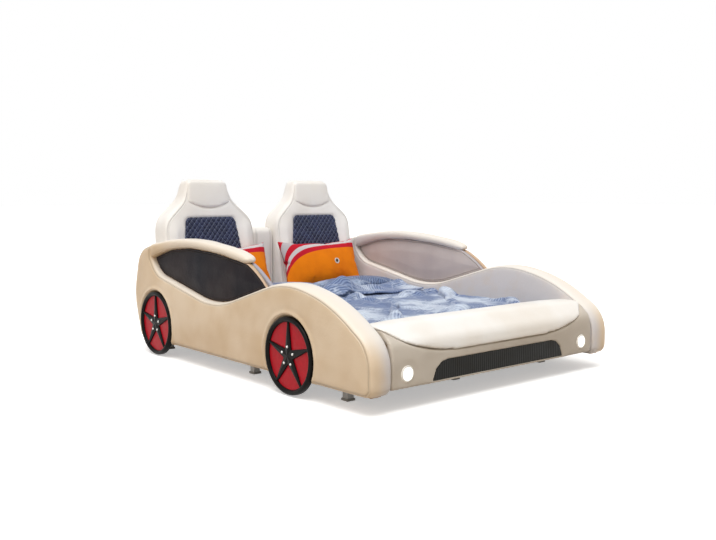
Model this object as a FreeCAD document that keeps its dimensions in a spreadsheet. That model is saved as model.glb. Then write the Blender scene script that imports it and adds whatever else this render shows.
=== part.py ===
import FreeCAD, Part
import math
import operator
import os

import Sketcher
from FreeCAD import Placement, Rotation, Vector

# Car bed for children. Millimetres, +Z up, origin on the floor under the centre of the bed.
# The bonnet faces -Y and the seat-shaped headboard +Y. The right-hand side, as a driver
# sits, is -X. Each piece of the right side is mirrored for the left.

doc = FreeCAD.newDocument("CarBed")

# ---------------------------------------------------------------- driving sizes

SIZES = (
    # mattress and the well that it lies in
    ("mattress_width", 1490),
    ("mattress_length", 1790),
    ("mattress_thick", 145),
    ("mattress_side_gap", 10),
    ("mattress_end_gap", 5),
    ("mattress_round", 28),
    # padded side panels
    ("panel_thick", 140),
    ("panel_bottom", 83),
    ("panel_round", 25),
    ("nose_round", 50),
    ("tail_round", 55),
    ("pad_skin", 38),
    ("core_thick", 60),
    ("core_inset", 42),
    ("sill_height", 391),
    ("fender_height", 549),
    ("roof_height", 723),
    ("front_depth", 240),
    ("head_depth", 275),
    # window infill under the roof rail
    ("window_thick", 60),
    ("window_board_thick", 12),
    ("window_round", 9),
    ("rail_rear_width", 130),
    ("rail_front_width", 84),
    ("rail_round", 17),
    # wheels
    ("wheel_radius", 194),
    ("wheel_floor_gap", 4),
    ("wheel_thick", 32),
    ("wheel_sink", 18),
    ("tyre_width", 26),
    ("disc_thick", 16),
    ("spoke_thick", 11),
    ("spoke_notch_radius", 40),
    ("spoke_tip_half", 3),
    ("cap_circle_radius", 46),
    ("cap_radius", 7),
    ("cap_height", 5),
    ("front_axle_in", 608),
    ("rear_axle_in", 316),
    # seat-shaped headboard
    ("seat_centre", 424),
    ("seat_half", 330),
    ("seat_bottom", 232),
    ("seat_shoulder", 745),
    ("seat_top", 1087),
    ("headrest_half", 140),
    ("seat_lean_degrees", 9),
    ("seat_round", 26),
    ("quilt_top", 838),
    ("quilt_bottom", 425),
    ("quilt_half", 224),
    ("quilt_sink", 14),
    ("quilt_proud", 6),
    ("headrest_seam", 893),
    ("headrest_pad_half", 118),
    ("console_half", 84),
    ("console_top", 752),
    ("console_depth", 140),
    ("console_round", 22),
    ("board_thick", 18),
    ("head_board_top", 640),
    # bonnet and bumper
    ("bonnet_height", 386),
    ("bumper_bottom", 104),
    ("bumper_back", 12),
    ("bumper_foam", 45),
    ("seam_height", 252),
    ("seam_gap", 2),
    ("grille_half", 497),
    ("grille_low", 115),
    ("grille_high", 211),
    ("grille_thick", 9),
    ("grille_sink", 2),
    ("lamp_centre", 660),
    ("lamp_height", 174),
    ("lamp_radius", 39),
    ("lamp_tube_radius", 34),
    ("lamp_depth", 70),
    ("lamp_wall", 2.2),
    # power box, switch and leads
    ("box_half", 65),
    ("box_deep", 44),
    ("box_low", 120),
    ("box_high", 190),
    ("box_lead_height", 174),
    ("rocker_half_width", 9),
    ("rocker_half_length", 13),
    ("rocker_pin_radius", 1.6),
    ("lead_radius", 3),
    ("lead_bend", 60),
    ("clip_size", 14),
    # bed frame
    ("slat_thick", 12),
    ("slat_width", 68),
    ("slat_top", 185),
    ("slat_count", 11),
    ("rail_leg_height", 50),
    ("rail_leg_width", 45),
    ("rail_wall", 3),
    ("cross_size", 30),
    ("beam_half", 20),
    ("leg_half", 19),
    ("leg_wall", 2),
    ("foot_half", 24),
    ("foot_height", 12),
    ("foot_plug", 22),
    ("bolt_radius", 4),
    ("bolt_head_radius", 7),
    ("bolt_head_height", 4),
    ("bolt_length", 62),
    ("bolt_height", 205),
    # bedding
    ("duvet_thick", 34),
    ("duvet_wave", 9),
    ("duvet_head_end", 312),
    ("cushion_long", 660),
    ("cushion_tall", 350),
    ("cushion_thick", 120),
    ("cushion_tilt", 20),
    ("pillow_long", 560),
    ("pillow_wide", 330),
    ("pillow_thick", 90),
    # running clearances
    ("soft_gap", 0.3),
    ("pin_gap", 0.08),
    ("rocker_gap", 0.8),
)

sheet = doc.addObject("Spreadsheet::Sheet", "Sizes")
for row, (alias, number) in enumerate(SIZES, start=1):
    sheet.set(f"A{row}", alias.replace("_", " "))
    sheet.set(f"B{row}", str(number))
    sheet.setAlias(f"B{row}", alias)
doc.recompute()


class Size:
    """A length that knows its number and the expression that gives it from the sheet."""

    def __init__(self, number, text):
        self.number = float(number)
        self.text = text

    def __float__(self):
        return self.number

    def __neg__(self):
        return Size(-self.number, f"-({self.text})")

    def __add__(self, other):
        return joined(self, "+", other)

    def __sub__(self, other):
        return joined(self, "-", other)

    def __mul__(self, other):
        return joined(self, "*", other)

    def __truediv__(self, other):
        return joined(self, "/", other)


OPERATORS = {"+": operator.add, "-": operator.sub, "*": operator.mul, "/": operator.truediv}


def as_size(thing):
    return thing if isinstance(thing, Size) else Size(thing, f"{float(thing):.6g}")


def joined(left, sign, right):
    left, right = as_size(left), as_size(right)
    return Size(OPERATORS[sign](left.number, right.number), f"({left.text} {sign} {right.text})")


def cell(alias):
    return Size(sheet.get(alias), f"Sizes.{alias}")


S = {alias: cell(alias) for alias, _ in SIZES}
ZERO = as_size(0)

# ---------------------------------------------------------------- places that follow from them

well_half = S["mattress_width"] / 2 + S["mattress_side_gap"]
outer_half = well_half + S["panel_thick"]
well_length = S["mattress_length"] + S["mattress_end_gap"] * 2
bed_length = well_length + S["front_depth"] + S["head_depth"]
front = -(bed_length / 2)
rear = bed_length / 2
well_front = front + S["front_depth"]
well_rear = rear - S["head_depth"]

wheel_height = S["wheel_radius"] + S["wheel_floor_gap"]
front_axle = front + S["front_axle_in"]
rear_axle = rear - S["rear_axle_in"]
wheel_floor = outer_half - S["wheel_sink"]

core_outer = well_half + S["panel_thick"] / 2 + S["core_thick"] / 2
core_inner = core_outer - S["core_thick"]
window_middle = well_half + S["panel_thick"] / 2

head_board_front = rear - S["board_thick"]
seat_back = head_board_front - S["board_thick"]

bumper_face = front + S["bumper_back"]
bumper_rear = bumper_face + S["bumper_foam"]
foot_board_rear = well_front - 2
foot_board_front = foot_board_rear - S["board_thick"]
bonnet_board_top = S["bonnet_height"] - 72
bonnet_board_low = bonnet_board_top - S["board_thick"]

slat_low = S["slat_top"] - S["slat_thick"]
rail_low = slat_low - S["rail_wall"]
cross_low = rail_low - S["cross_size"]
mattress_low = S["slat_top"] + S["soft_gap"]
mattress_top = mattress_low + S["mattress_thick"]

# ---------------------------------------------------------------- document helpers

nodes = []


def keep(item, label):
    """Names a finished sub-part and lists it for export."""
    item.Label = label
    nodes.append(item)
    return item


def bind(item, path, size):
    item.setExpression(path, as_size(size).text)


def place(item, x=ZERO, y=ZERO, z=ZERO):
    for axis, size in (("x", x), ("y", y), ("z", z)):
        bind(item, f"Placement.Base.{axis}", size)
    return item


def box(name, low, high):
    """A block between two corners."""
    item = doc.addObject("Part::Box", name)
    for path, start, end in zip(("Length", "Width", "Height"), low, high):
        bind(item, path, as_size(end) - start)
    return place(item, *low)


def cylinder(name, radius, height, base):
    item = doc.addObject("Part::Cylinder", name)
    bind(item, "Radius", radius)
    bind(item, "Height", height)
    return place(item, *base)


def prism(name, sides, radius, height, base):
    """An upright regular prism, such as a nut cover, a bolt head or a threaded shank."""
    item = doc.addObject("Part::Prism", name)
    item.Polygon = sides
    bind(item, "Circumradius", radius)
    bind(item, "Height", height)
    return place(item, *base)


def laid(item):
    """Turns an upright bar so that it runs along +X from its base."""
    item.Placement.Rotation = Rotation(Vector(0, 1, 0), 90)
    return item


def cut(name, base, tool):
    item = doc.addObject("Part::Cut", name)
    item.Base, item.Tool = base, tool
    return item


def fuse(name, first, second):
    item = doc.addObject("Part::Fuse", name)
    item.Base, item.Tool = first, second
    return item


def group(name, members):
    """Repeated solids that share one node."""
    item = doc.addObject("Part::Compound", name)
    item.Links = members
    return item


def left_of(item, label):
    """The left-hand twin of a right-hand piece."""
    twin = doc.addObject("Part::Mirroring", label)
    twin.Source = item
    twin.Normal = Vector(1, 0, 0)
    return keep(twin, label)


def with_left_twin(right):
    """One group of a right-hand item and its mirror image."""
    twin = doc.addObject("Part::Mirroring", f"{right.Name}_twin")
    twin.Source = right
    twin.Normal = Vector(1, 0, 0)
    return group(f"{right.Name}_both", [right, twin])


def feature(name, shape):
    """A piece whose form comes from Part's own functions."""
    item = doc.addObject("Part::Feature", name)
    item.Shape = shape
    item.Placement = shape.Placement
    return item


def new_body(name):
    return doc.addObject("PartDesign::Body", name)


def new_sketch(body, name, role, offset=ZERO):
    sketch = body.newObject("Sketcher::SketchObject", name)
    plane = next(item for item in body.Origin.OriginFeatures if item.Role == role)
    sketch.AttachmentSupport = [(plane, "")]
    sketch.MapMode = "FlatFace"
    bind(sketch, "AttachmentOffset.Base.z", offset)
    return sketch


def hold(sketch, kind, index, spot, size):
    """Sets one coordinate of a sketch point from the sheet."""
    size = as_size(size)
    number = sketch.addConstraint(Sketcher.Constraint(kind, -1, 1, index, spot, float(size)))
    sketch.setExpression(f"Constraints[{number}]", size.text)


def draw_polygon(sketch, points):
    corners = [Vector(float(a), float(b), 0) for a, b in points]
    first = sketch.GeometryCount
    count = len(corners)
    for index in range(count):
        edge = Part.LineSegment(corners[index], corners[(index + 1) % count])
        sketch.addGeometry(edge, False)
    for index in range(count):
        following = first + (index + 1) % count
        sketch.addConstraint(Sketcher.Constraint("Coincident", first + index, 2, following, 1))
    for index, (a, b) in enumerate(points):
        hold(sketch, "DistanceX", first + index, 1, a)
        hold(sketch, "DistanceY", first + index, 1, b)


def draw_circle(sketch, a, b, radius):
    circle = Part.Circle(Vector(float(a), float(b), 0), Vector(0, 0, 1), float(radius))
    index = sketch.addGeometry(circle, False)
    hold(sketch, "DistanceX", index, 3, a)
    hold(sketch, "DistanceY", index, 3, b)
    number = sketch.addConstraint(Sketcher.Constraint("Radius", index, float(radius)))
    sketch.setExpression(f"Constraints[{number}]", as_size(radius).text)


def pad(body, sketch, length, name="Pad"):
    item = body.newObject("PartDesign::Pad", name)
    item.Profile = sketch
    bind(item, "Length", length)
    return item


def revolve(body, sketch, role, name="Revolution"):
    item = body.newObject("PartDesign::Revolution", name)
    item.Profile = sketch
    axis = next(part for part in body.Origin.OriginFeatures if part.Role == role)
    item.ReferenceAxis = (axis, [""])
    item.Angle = 360
    return item


def soften(body, radius, wanted, kind="Fillet"):
    """Rounds or chamfers the edges of the body's last feature that the test picks."""
    doc.recompute()
    last = body.Tip
    names = [f"Edge{n}" for n, edge in enumerate(last.Shape.Edges, start=1) if wanted(edge)]
    item = body.newObject(f"PartDesign::{kind}", kind)
    item.Base = (last, names)
    bind(item, "Radius" if kind == "Fillet" else "Size", radius)
    return item


# ---------------------------------------------------------------- outline helpers


def at_yz(y, z):
    return Vector(0, float(y), float(z))


def at_xz(x, z):
    return Vector(float(x), 0, float(z))


def tangent_run(corners, closed=True):
    """Lines joined by tangent arcs. Each corner is a point and the radius that rounds it."""
    count = len(corners)
    ends = []
    for index, (corner, radius) in enumerate(corners):
        before, after = corners[index - 1][0], corners[(index + 1) % count][0]
        loose = not closed and index in (0, count - 1)
        if radius == 0 or loose:
            ends.append((corner, None, corner))
            continue
        back, ahead = (before - corner).normalize(), (after - corner).normalize()
        half = back.getAngle(ahead) / 2
        reach = float(radius) / math.tan(half)
        inward = (back + ahead).normalize()
        middle = corner + inward * (float(radius) / math.sin(half) - float(radius))
        ends.append((corner + back * reach, middle, corner + ahead * reach))
    edges = []
    for index, (start, middle, end) in enumerate(ends):
        if middle:
            edges.append(Part.Arc(start, middle, end).toShape())
        if closed or index < count - 1:
            following = ends[(index + 1) % count][0]
            if (following - end).Length > 0.01:
                edges.append(Part.makeLine(end, following))
    return edges


def line(start, end):
    return Part.makeLine(start, end)


def arc(start, middle, end):
    return Part.Arc(start, middle, end).toShape()


def face_of(edges):
    return Part.Face(Part.Wire(edges))


def slab(edges, start, thickness, direction):
    """The outline drawn at the origin plane, swept between two distances along an axis."""
    face = face_of(edges)
    face.translate(direction * float(start))
    return face.extrude(direction * float(thickness))


def edge_rounding(radius, steps):
    """Inset and depth of the strips that roll an edge over, from the face to the side."""
    turns = [math.radians(90 * step / steps) for step in range(steps + 1)]
    return [(radius * (1 - math.sin(turn)), radius * (1 - math.cos(turn))) for turn in turns]


def padded_slab(edges, start, thickness, direction, radius, steps=3, both=False):
    """An upholstered slab: its face is rolled over at the near edge, or at both edges."""
    face = face_of(edges)
    roll = edge_rounding(float(radius), steps)
    thickness = float(thickness)
    far = [(inset, thickness - depth) for inset, depth in reversed(roll)]
    wires = []
    for inset, depth in roll + (far if both else [(0, thickness)]):
        outline = face.makeOffset2D(-inset, 2) if inset > 0.001 else face.copy()
        outline.translate(direction * (float(start) + depth))
        wires.append(outline.OuterWire)
    return Part.makeLoft(wires, True, True)


RIGHT = Vector(-1, 0, 0)
ALONG = Vector(0, 1, 0)


def block(low, high):
    """A plain block between two corners, for Part's own functions."""
    size = [float(b) - float(a) for a, b in zip(low, high)]
    return Part.makeBox(*size, Vector(*[float(a) for a in low]))


def rounded(shape, radius, wanted):
    """Rounds the edges that the test picks."""
    edges = [edge for edge in shape.Edges if wanted(edge)]
    return shape.makeFillet(float(radius), edges)


def middle_of(edge):
    return edge.valueAt((edge.FirstParameter + edge.LastParameter) / 2)


# ---------------------------------------------------------------- side panel outline

window_front = front + 798
window_rear = rear - 242
window_span = window_rear - window_front


def sill_corners(drop=0):
    """The dip under the window: share of the window's length, rise over its lowest point, radius."""
    base = S["sill_height"] - drop
    stations = ((0.409, -23, 740), (0.948, 115, 190), (1.0, 207, 0))
    return [
        (at_yz(window_front + window_span * share, base + rise), radius)
        for share, rise, radius in stations
    ]


def nose_corners():
    """The fender, from the bumper corner up over its crown."""
    top = S["fender_height"]
    stations = (
        (0, S["panel_bottom"], S["nose_round"]),
        (0, top - 237, 195),
        (298, top - 48, 900),
        (656, top + 21, 680),
    )
    return [(at_yz(front + back, height), float(radius)) for back, height, radius in stations]


def tail_corners():
    """The rear quarter, from the roof rail's seam down to the floor edge."""
    top = S["roof_height"]
    stations = (
        (242, top - 44, 0),
        (83, top - 85, 150),
        (0, top - 366, 330),
        (90, S["panel_bottom"], S["tail_round"]),
    )
    return [(at_yz(rear - inset, height), float(radius)) for inset, height, radius in stations]


def side_outline():
    return tangent_run(nose_corners() + sill_corners() + tail_corners())


def core_outline():
    """Timber former: straight cuts that stay inside the padding."""
    inset = float(S["core_inset"])
    low, sill = S["panel_bottom"], S["sill_height"] - inset
    fender, roof = S["fender_height"] - inset, S["roof_height"] - 44 - inset
    corners = (
        (front + inset, low),
        (front + inset, fender - 235),
        (front + 190, fender - 98),
        (front + 430, fender - 8),
        (front + 690, fender - 4),
        (window_front + 340, sill + 14),
        (window_front + 640, sill),
        (window_rear - 250, sill + 52),
        (window_rear - 60, sill + 118),
        (window_rear + inset, sill + 200),
        (window_rear + inset, roof),
        (rear - 150, roof - 42),
        (rear - 62, roof - 160),
        (rear - inset, roof - 270),
        (rear - inset - 6, roof - 330),
        (rear - 130, low),
    )
    points = [at_yz(y, z) for y, z in corners]
    return [line(a, b) for a, b in zip(points, points[1:] + points[:1])]


def bolt_places():
    """Where the side rail is bolted through to the timber core."""
    return (well_front + 260, well_rear - 260)


def bolt_hole(y):
    """Square clearance through padding and timber, hidden behind the side rail."""
    reach = S["bolt_radius"] + 0.3
    start = -(well_half - 10)
    return block(
        (start - S["bolt_length"] - 12, y - reach, S["bolt_height"] - reach),
        (start, y + reach, S["bolt_height"] + reach),
    )


# ---------------------------------------------------------------- roof rail and window

rail_length = window_span - 232


def rail_spot(share, drop):
    """A place by its share of the rail's length from the seam, and its drop from the roof."""
    return at_yz(window_rear - rail_length * share, S["roof_height"] - drop)


def rail_underside(rise=0):
    return [
        (rail_spot(1, 103 - rise), 15),
        (rail_spot(0.387, 20 - rise), 1650),
        (rail_spot(0.078, 91 - rise), 400),
        (rail_spot(0, 125 - rise), 0),
    ]


def rolled_rectangle(half, low, top, radius):
    """Corners of a section whose edges roll over in two strips each."""
    points = []
    roll = edge_rounding(radius, 2)
    for side, edge, inward in ((1, low, -1), (1, top, 1), (-1, top, 1), (-1, low, -1)):
        strips = roll if side * inward < 0 else roll[::-1]
        points += [(side * (half - depth), edge + inward * inset) for depth, inset in strips]
    return points


def roof_rail_shape():
    """Padded roll, wide at the rear seam and narrow at the free tip."""
    middle = float(window_middle)
    wide, narrow = float(S["rail_rear_width"]), float(S["rail_front_width"])
    stations = (
        (0, 44, 125, 1),
        (0.2, 14, 68, 1),
        (0.417, 0, 48, 1),
        (0.683, 17, 60, 1),
        (0.911, 48, 91, 1),
        (0.98, 64, 103, 0.92),
        (1, 74, 96, 0.6),
    )
    wires = []
    for share, top, low, squeeze in stations:
        half = (wide + (narrow - wide) * share) / 2 * squeeze
        rim = rolled_rectangle(half, low, top, min(float(S["rail_round"]), (low - top) * 0.42))
        points = [rail_spot(share, drop) + Vector(x - middle, 0, 0) for x, drop in rim]
        wires.append(Part.Wire([line(a, b) for a, b in zip(points, points[1:] + points[:1])]))
    return Part.makeLoft(wires, True, True)


def window_slab(near, thick, sink, rise, edge_back):
    """Infill between sill and rail, sunk into one and raised into the other."""
    roof = rail_underside(rise)[1:]
    sill = sill_corners(sink)[:-1]
    length = float(rail_length)
    corners = roof[:-1] + [
        (at_yz(window_rear - 6, S["roof_height"] - 123 + rise), 0),
        (at_yz(window_rear - 6, S["sill_height"] + 190 - sink), 0),
    ] + sill[::-1]
    ahead = (
        (1.216, S["sill_height"] + 96 - sink, 0),
        (1.11, S["roof_height"] - 156, 700),
        (0.945, S["roof_height"] - 96 + rise, 0),
    )
    corners += [
        (at_yz(window_rear - length * share + edge_back, height), radius)
        for share, height, radius in ahead
    ]
    return slab(tangent_run(corners), near, thick, RIGHT)


# ---------------------------------------------------------------- side panels


def build_side():
    """Timber core, upholstered panel, window infill and padded roof rail."""
    core = slab(core_outline(), core_inner, S["core_thick"], RIGHT)

    half_board = S["window_board_thick"] / 2
    board = window_slab(window_middle - half_board, S["window_board_thick"], 62, 14, 12.0)

    panel = padded_slab(
        side_outline(), well_half, S["panel_thick"], RIGHT, S["panel_round"], steps=2, both=True
    )
    panel = panel.cut(core)
    for axle in (front_axle, rear_axle):
        centre = Vector(-float(wheel_floor), float(axle), float(wheel_height))
        arch = Part.makeCylinder(float(S["wheel_radius"]) + 3, float(S["wheel_thick"]), centre, RIGHT)
        panel = panel.cut(arch)
    panel = panel.cut(board)
    core = core.cut(board)
    for y in bolt_places():
        hole = bolt_hole(y)
        panel = panel.cut(hole)
        core = core.cut(hole)

    rail = roof_rail_shape()
    solid_side = slab(side_outline(), well_half, S["panel_thick"], RIGHT)
    skin_thick = (S["window_thick"] - S["window_board_thick"]) / 2
    skins = []
    for near in (window_middle + half_board, window_middle - half_board - skin_thick):
        skin = window_slab(near, skin_thick, 30, 14, 0)
        skins.append(skin.cut(solid_side).cut(rail))
    rail = rail.cut(board)

    pieces = (
        ("side_core", core),
        ("side_pad", panel),
        ("window_board", board),
        ("window_outer", skins[0]),
        ("window_inner", skins[1]),
        ("roof_rail", rail),
    )
    for name, shape in pieces:
        piece = keep(feature(name, shape), f"{name}_right")
        left_of(piece, f"{name}_left")


# ---------------------------------------------------------------- wheels


def wheel_rim(name, axle):
    """Moulded black rim: a tyre ring and five tapering spokes in one piece."""
    body = new_body(name)
    inner = S["wheel_radius"] - S["tyre_width"]
    spoke = new_sketch(body, f"{name}_spoke", "YZ_Plane", -(S["disc_thick"]))
    notch = S["spoke_notch_radius"]
    side, back = math.sin(math.radians(36)), math.cos(math.radians(36))
    tip = inner + 3
    draw_polygon(spoke, (
        (ZERO, ZERO),
        (notch * side, notch * back),
        (S["spoke_tip_half"], tip),
        (-(S["spoke_tip_half"]), tip),
        (-(notch * side), notch * back),
    ))
    blade = pad(body, spoke, S["spoke_thick"], "Spoke")
    blade.Reversed = True
    doc.recompute()
    turn = body.newObject("PartDesign::PolarPattern", "Spokes")
    turn.Originals = [blade]
    axis = next(item for item in body.Origin.OriginFeatures if item.Role == "X_Axis")
    turn.Axis = (axis, [""])
    turn.Angle = 360
    turn.Occurrences = 5
    body.Tip = turn
    doc.recompute()
    ring = new_sketch(body, f"{name}_ring", "XY_Plane")
    thick, radius = S["wheel_thick"], S["wheel_radius"]
    draw_polygon(ring, (
        (ZERO, inner),
        (-thick, inner + 8),
        (-(thick - 8), radius),
        (ZERO, radius),
    ))
    revolve(body, ring, "X_Axis", "Ring")
    place(body, -wheel_floor, axle, wheel_height)
    return body


def wheel_disc(name, axle):
    """Red backing disc, whose edge is hidden against the rim."""
    radius = S["wheel_radius"] - S["tyre_width"] - 0.3
    base = (-(wheel_floor + S["disc_thick"]), axle, wheel_height)
    return laid(prism(name, 36, radius, S["disc_thick"], base))


def cap_row(axle):
    """Five nut covers, one on the root of each spoke."""
    caps = []
    face = wheel_floor + S["disc_thick"] + S["spoke_thick"]
    for index in range(5):
        angle = math.radians(72 * index)
        ring = S["cap_circle_radius"]
        base = (
            -(face + S["cap_height"]),
            axle + ring * math.sin(angle),
            wheel_height + ring * math.cos(angle),
        )
        caps.append(laid(prism("cap", 6, S["cap_radius"], S["cap_height"], base)))
    return caps


def build_wheels():
    for name, make in (("wheel_rims", wheel_rim), ("wheel_discs", wheel_disc)):
        ends = (("front", front_axle), ("rear", rear_axle))
        right = group(f"{name}_right", [make(f"{name}_{end}", axle) for end, axle in ends])
        keep(with_left_twin(right), name)
    right_caps = group("right_caps", cap_row(front_axle) + cap_row(rear_axle))
    keep(with_left_twin(right_caps), "lug_caps")


# ---------------------------------------------------------------- headboard


def seat_placement():
    """The seats' fronts lean back about the top edge of the base."""
    lean = Rotation(Vector(1, 0, 0), -float(S["seat_lean_degrees"]))
    return Placement(at_yz(well_rear + 1, S["seat_bottom"]), lean)


def on_seat(x, z):
    """A spot on the leaning front of the right-hand seat, by its real height."""
    slope = math.cos(math.radians(float(S["seat_lean_degrees"])))
    return at_xz(x - float(S["seat_centre"]), (float(z) - float(S["seat_bottom"])) / slope)


def both_sides(side):
    """Corners listed for one half, closed by their mirror image in the seat's centre line."""
    right = [(on_seat(x, z), radius) for x, z, radius in side]
    left = [(on_seat(-x, z), radius) for x, z, radius in reversed(side)]
    return tangent_run(right + left)


def seat_outline(inset=0, low=0):
    """A seat seen from the front: square foot, sloping shoulders, neck and headrest."""
    half, top = float(S["seat_half"]) - inset, float(S["seat_top"]) - inset
    shoulder, head = float(S["seat_shoulder"]), float(S["headrest_half"]) - inset
    return both_sides((
        (half, low, 0),
        (half, shoulder + 69 - inset * 0.4, 150),
        (head + 32, shoulder + 208 - inset * 0.4, 150),
        (head - 10, top, 34),
    ))


def quilt_outline(inset=0):
    """Rounded trapezoid, widest near its foot."""
    top, low = float(S["quilt_top"]) - inset, float(S["quilt_bottom"]) + inset
    wide = float(S["quilt_half"]) - inset
    return both_sides((
        (wide - 35, low, 50),
        (wide, low + 130, 120),
        (wide - 42, top, 38),
    ))


def headrest_outline(inset=0):
    """Headrest cushion with a curved lower seam."""
    half = float(S["headrest_pad_half"]) - inset
    low, top = float(S["headrest_seam"]) + inset, float(S["seat_top"]) - 24 - inset
    return tangent_run([
        (on_seat(0, low - 22), 220),
        (on_seat(half + 14, low + 40), 0),
        (on_seat(half, top), 24),
        (on_seat(-half, top), 24),
        (on_seat(-half - 14, low + 40), 0),
    ])


def build_headboard():
    lean = seat_placement()
    sink, proud, gap = float(S["quilt_sink"]), float(S["quilt_proud"]), float(S["soft_gap"])
    seat = padded_slab(seat_outline(), 0, S["head_depth"] + 40, ALONG, S["seat_round"], steps=2)
    for outline in (quilt_outline(), headrest_outline()):
        seat = seat.cut(slab(outline, -20, 20 + sink, ALONG))
    seat.Placement = lean
    seat = seat.common(block(
        (-well_half, well_rear, S["seat_bottom"]), (0, seat_back, S["seat_top"] + 50)
    ))
    layers = []
    for outline in (quilt_outline(gap), headrest_outline(gap)):
        layer = padded_slab(outline, -proud, proud + sink, ALONG, proud + 2, steps=1)
        layer.Placement = lean
        layers.append(layer)
    quilt, headrest = layers
    board = slab(seat_outline(12, slat_low + 3.5), seat_back, S["board_thick"], ALONG)
    board.translate(at_yz(0, S["seat_bottom"]))
    for name, shape in (("seat_pad", seat), ("seat_board", board)):
        piece = keep(feature(name, shape), f"{name}_right")
        left_of(piece, f"{name}_left")
    keep(with_left_twin(feature("quilt", quilt)), "seat_quilts")
    keep(with_left_twin(feature("headrest", headrest)), "headrest_pads")

    back = new_body("back_board")
    sketch = new_sketch(back, "back_outline", "XZ_Plane", -rear)
    edge = well_half - 3
    shoulder = S["head_board_top"]
    draw_polygon(sketch, (
        (-edge, S["bumper_bottom"]),
        (edge, S["bumper_bottom"]),
        (edge, shoulder - 60),
        (edge - 60, shoulder),
        (-(edge - 60), shoulder),
        (-edge, shoulder - 60),
    ))
    pad(back, sketch, S["board_thick"])
    keep(back, "head_board")

    half, low = S["console_half"], S["seat_bottom"]
    corners = ((-half, low, 0), (half, low, 0), (half, S["console_top"], 34), (-half, S["console_top"], 34))
    console = padded_slab(
        tangent_run([(at_xz(x, z), radius) for x, z, radius in corners]),
        head_board_front - S["console_depth"], S["console_depth"], ALONG, S["console_round"], steps=1,
    )
    keep(feature("console", console), "console_pad")


# ---------------------------------------------------------------- bonnet, bumper and lamps


def nose_profile():
    """Section of bumper and bonnet: front face, rolled top, and the boards' space behind."""
    top, low = S["bonnet_height"], S["bumper_bottom"]
    corners = (
        (well_front, bonnet_board_top, 0),
        (well_front, top, 34),
        (bumper_face + 92, top, 75),
        (bumper_face + 8, top - 74, 60),
        (bumper_face, top - 142, 160),
        (bumper_face, low, 12),
        (bumper_rear, low, 0),
        (bumper_rear, bonnet_board_top, 0),
    )
    return tangent_run([(at_yz(y, z), radius) for y, z, radius in corners])


def seam_region(drop):
    """Everything above the smile-shaped seam between bumper and bonnet."""
    half = well_half + 5
    low = S["seam_height"] - drop
    high = S["bonnet_height"] + 60
    side = (
        (half - 330, low, 900),
        (half - 110, low + 55, 300),
        (half, low + 126, 0),
        (half, high, 0),
    )
    right = [(at_xz(x, z), radius) for x, z, radius in side]
    left = [(at_xz(-x, z), radius) for x, z, radius in reversed(side)]
    return slab(tangent_run(right + left), front - 50, S["front_depth"] + 100, ALONG)


def lamp_axis(side, y, radius, length):
    start = Vector(side * float(S["lamp_centre"]), float(y), float(S["lamp_height"]))
    return Part.makeCylinder(float(radius), float(length), start, ALONG)


def grille_points():
    half, low, high = S["grille_half"], S["grille_low"], S["grille_high"]
    return (
        (-half, low),
        (half, low),
        (half - 24, high - 38),
        (half - 62, high - 8),
        (half - 100, high),
        (-(half - 100), high),
        (-(half - 62), high - 8),
        (-(half - 24), high - 38),
    )


def build_bonnet():
    half = well_half - 1
    whole = slab(nose_profile(), -half, half * 2, Vector(1, 0, 0))
    bonnet = whole.common(seam_region(0))
    bumper = whole.cut(seam_region(float(S["seam_gap"])))
    for side in (-1, 1):
        bumper = bumper.cut(lamp_axis(side, bumper_face - 5, S["lamp_tube_radius"], 100))
    edges = [at_xz(*point) for point in grille_points()]
    outline = [line(a, b) for a, b in zip(edges, edges[1:] + edges[:1])]
    recess = S["grille_sink"] + S["grille_thick"]
    bumper = bumper.cut(slab(outline, bumper_face - 1, recess + 1, ALONG))
    keep(feature("bonnet", bonnet), "bonnet_pad")
    keep(feature("bumper", bumper), "bumper_pad")

    grille = new_body("grille")
    face = bumper_face + S["grille_sink"]
    sketch = new_sketch(grille, "grille_outline", "XZ_Plane", -(face + S["grille_thick"]))
    draw_polygon(sketch, grille_points())
    pad(grille, sketch, S["grille_thick"])
    front_face = float(face)
    soften(grille, 3, lambda edge: edge.BoundBox.YMax < front_face + 0.01, "Chamfer")
    keep(grille, "grille_panel")


def build_boards():
    """Timber box under the bonnet: front, top and rear boards."""
    edge = well_half - 3
    foot = box(
        "foot_board_block",
        (-edge, foot_board_front, S["bumper_bottom"] - 4),
        (edge, foot_board_rear, bonnet_board_low),
    )
    keep(foot, "foot_board")
    top = box(
        "bonnet_board_block",
        (-edge, bumper_rear, bonnet_board_low),
        (edge, foot_board_rear, bonnet_board_top),
    )
    keep(top, "bonnet_board")
    block_item = box(
        "front_board_block",
        (-edge, bumper_rear, S["bumper_bottom"]),
        (edge, bumper_rear + S["board_thick"], bonnet_board_low),
    )
    bores = []
    for side in (-1, 1):
        bore = prism(
            "lamp_bore", 16, S["lamp_tube_radius"] * 1.02, S["board_thick"] + 20,
            (S["lamp_centre"] * side, bumper_rear + S["board_thick"] + 10, S["lamp_height"]),
        )
        bore.Placement.Rotation = Rotation(Vector(1, 0, 0), 90)
        bores.append(bore)
    keep(cut("front_board_bored", block_item, group("lamp_bores", bores)), "front_board")


def lamp_body(name, points):
    """A turned lamp part. Points are radius and distance back from the bumper's face."""
    body = new_body(name)
    sketch = new_sketch(body, f"{name}_profile", "XY_Plane")
    draw_polygon(sketch, points)
    revolve(body, sketch, "Y_Axis")
    place(body, -(S["lamp_centre"]), bumper_face, S["lamp_height"])
    return body


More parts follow.
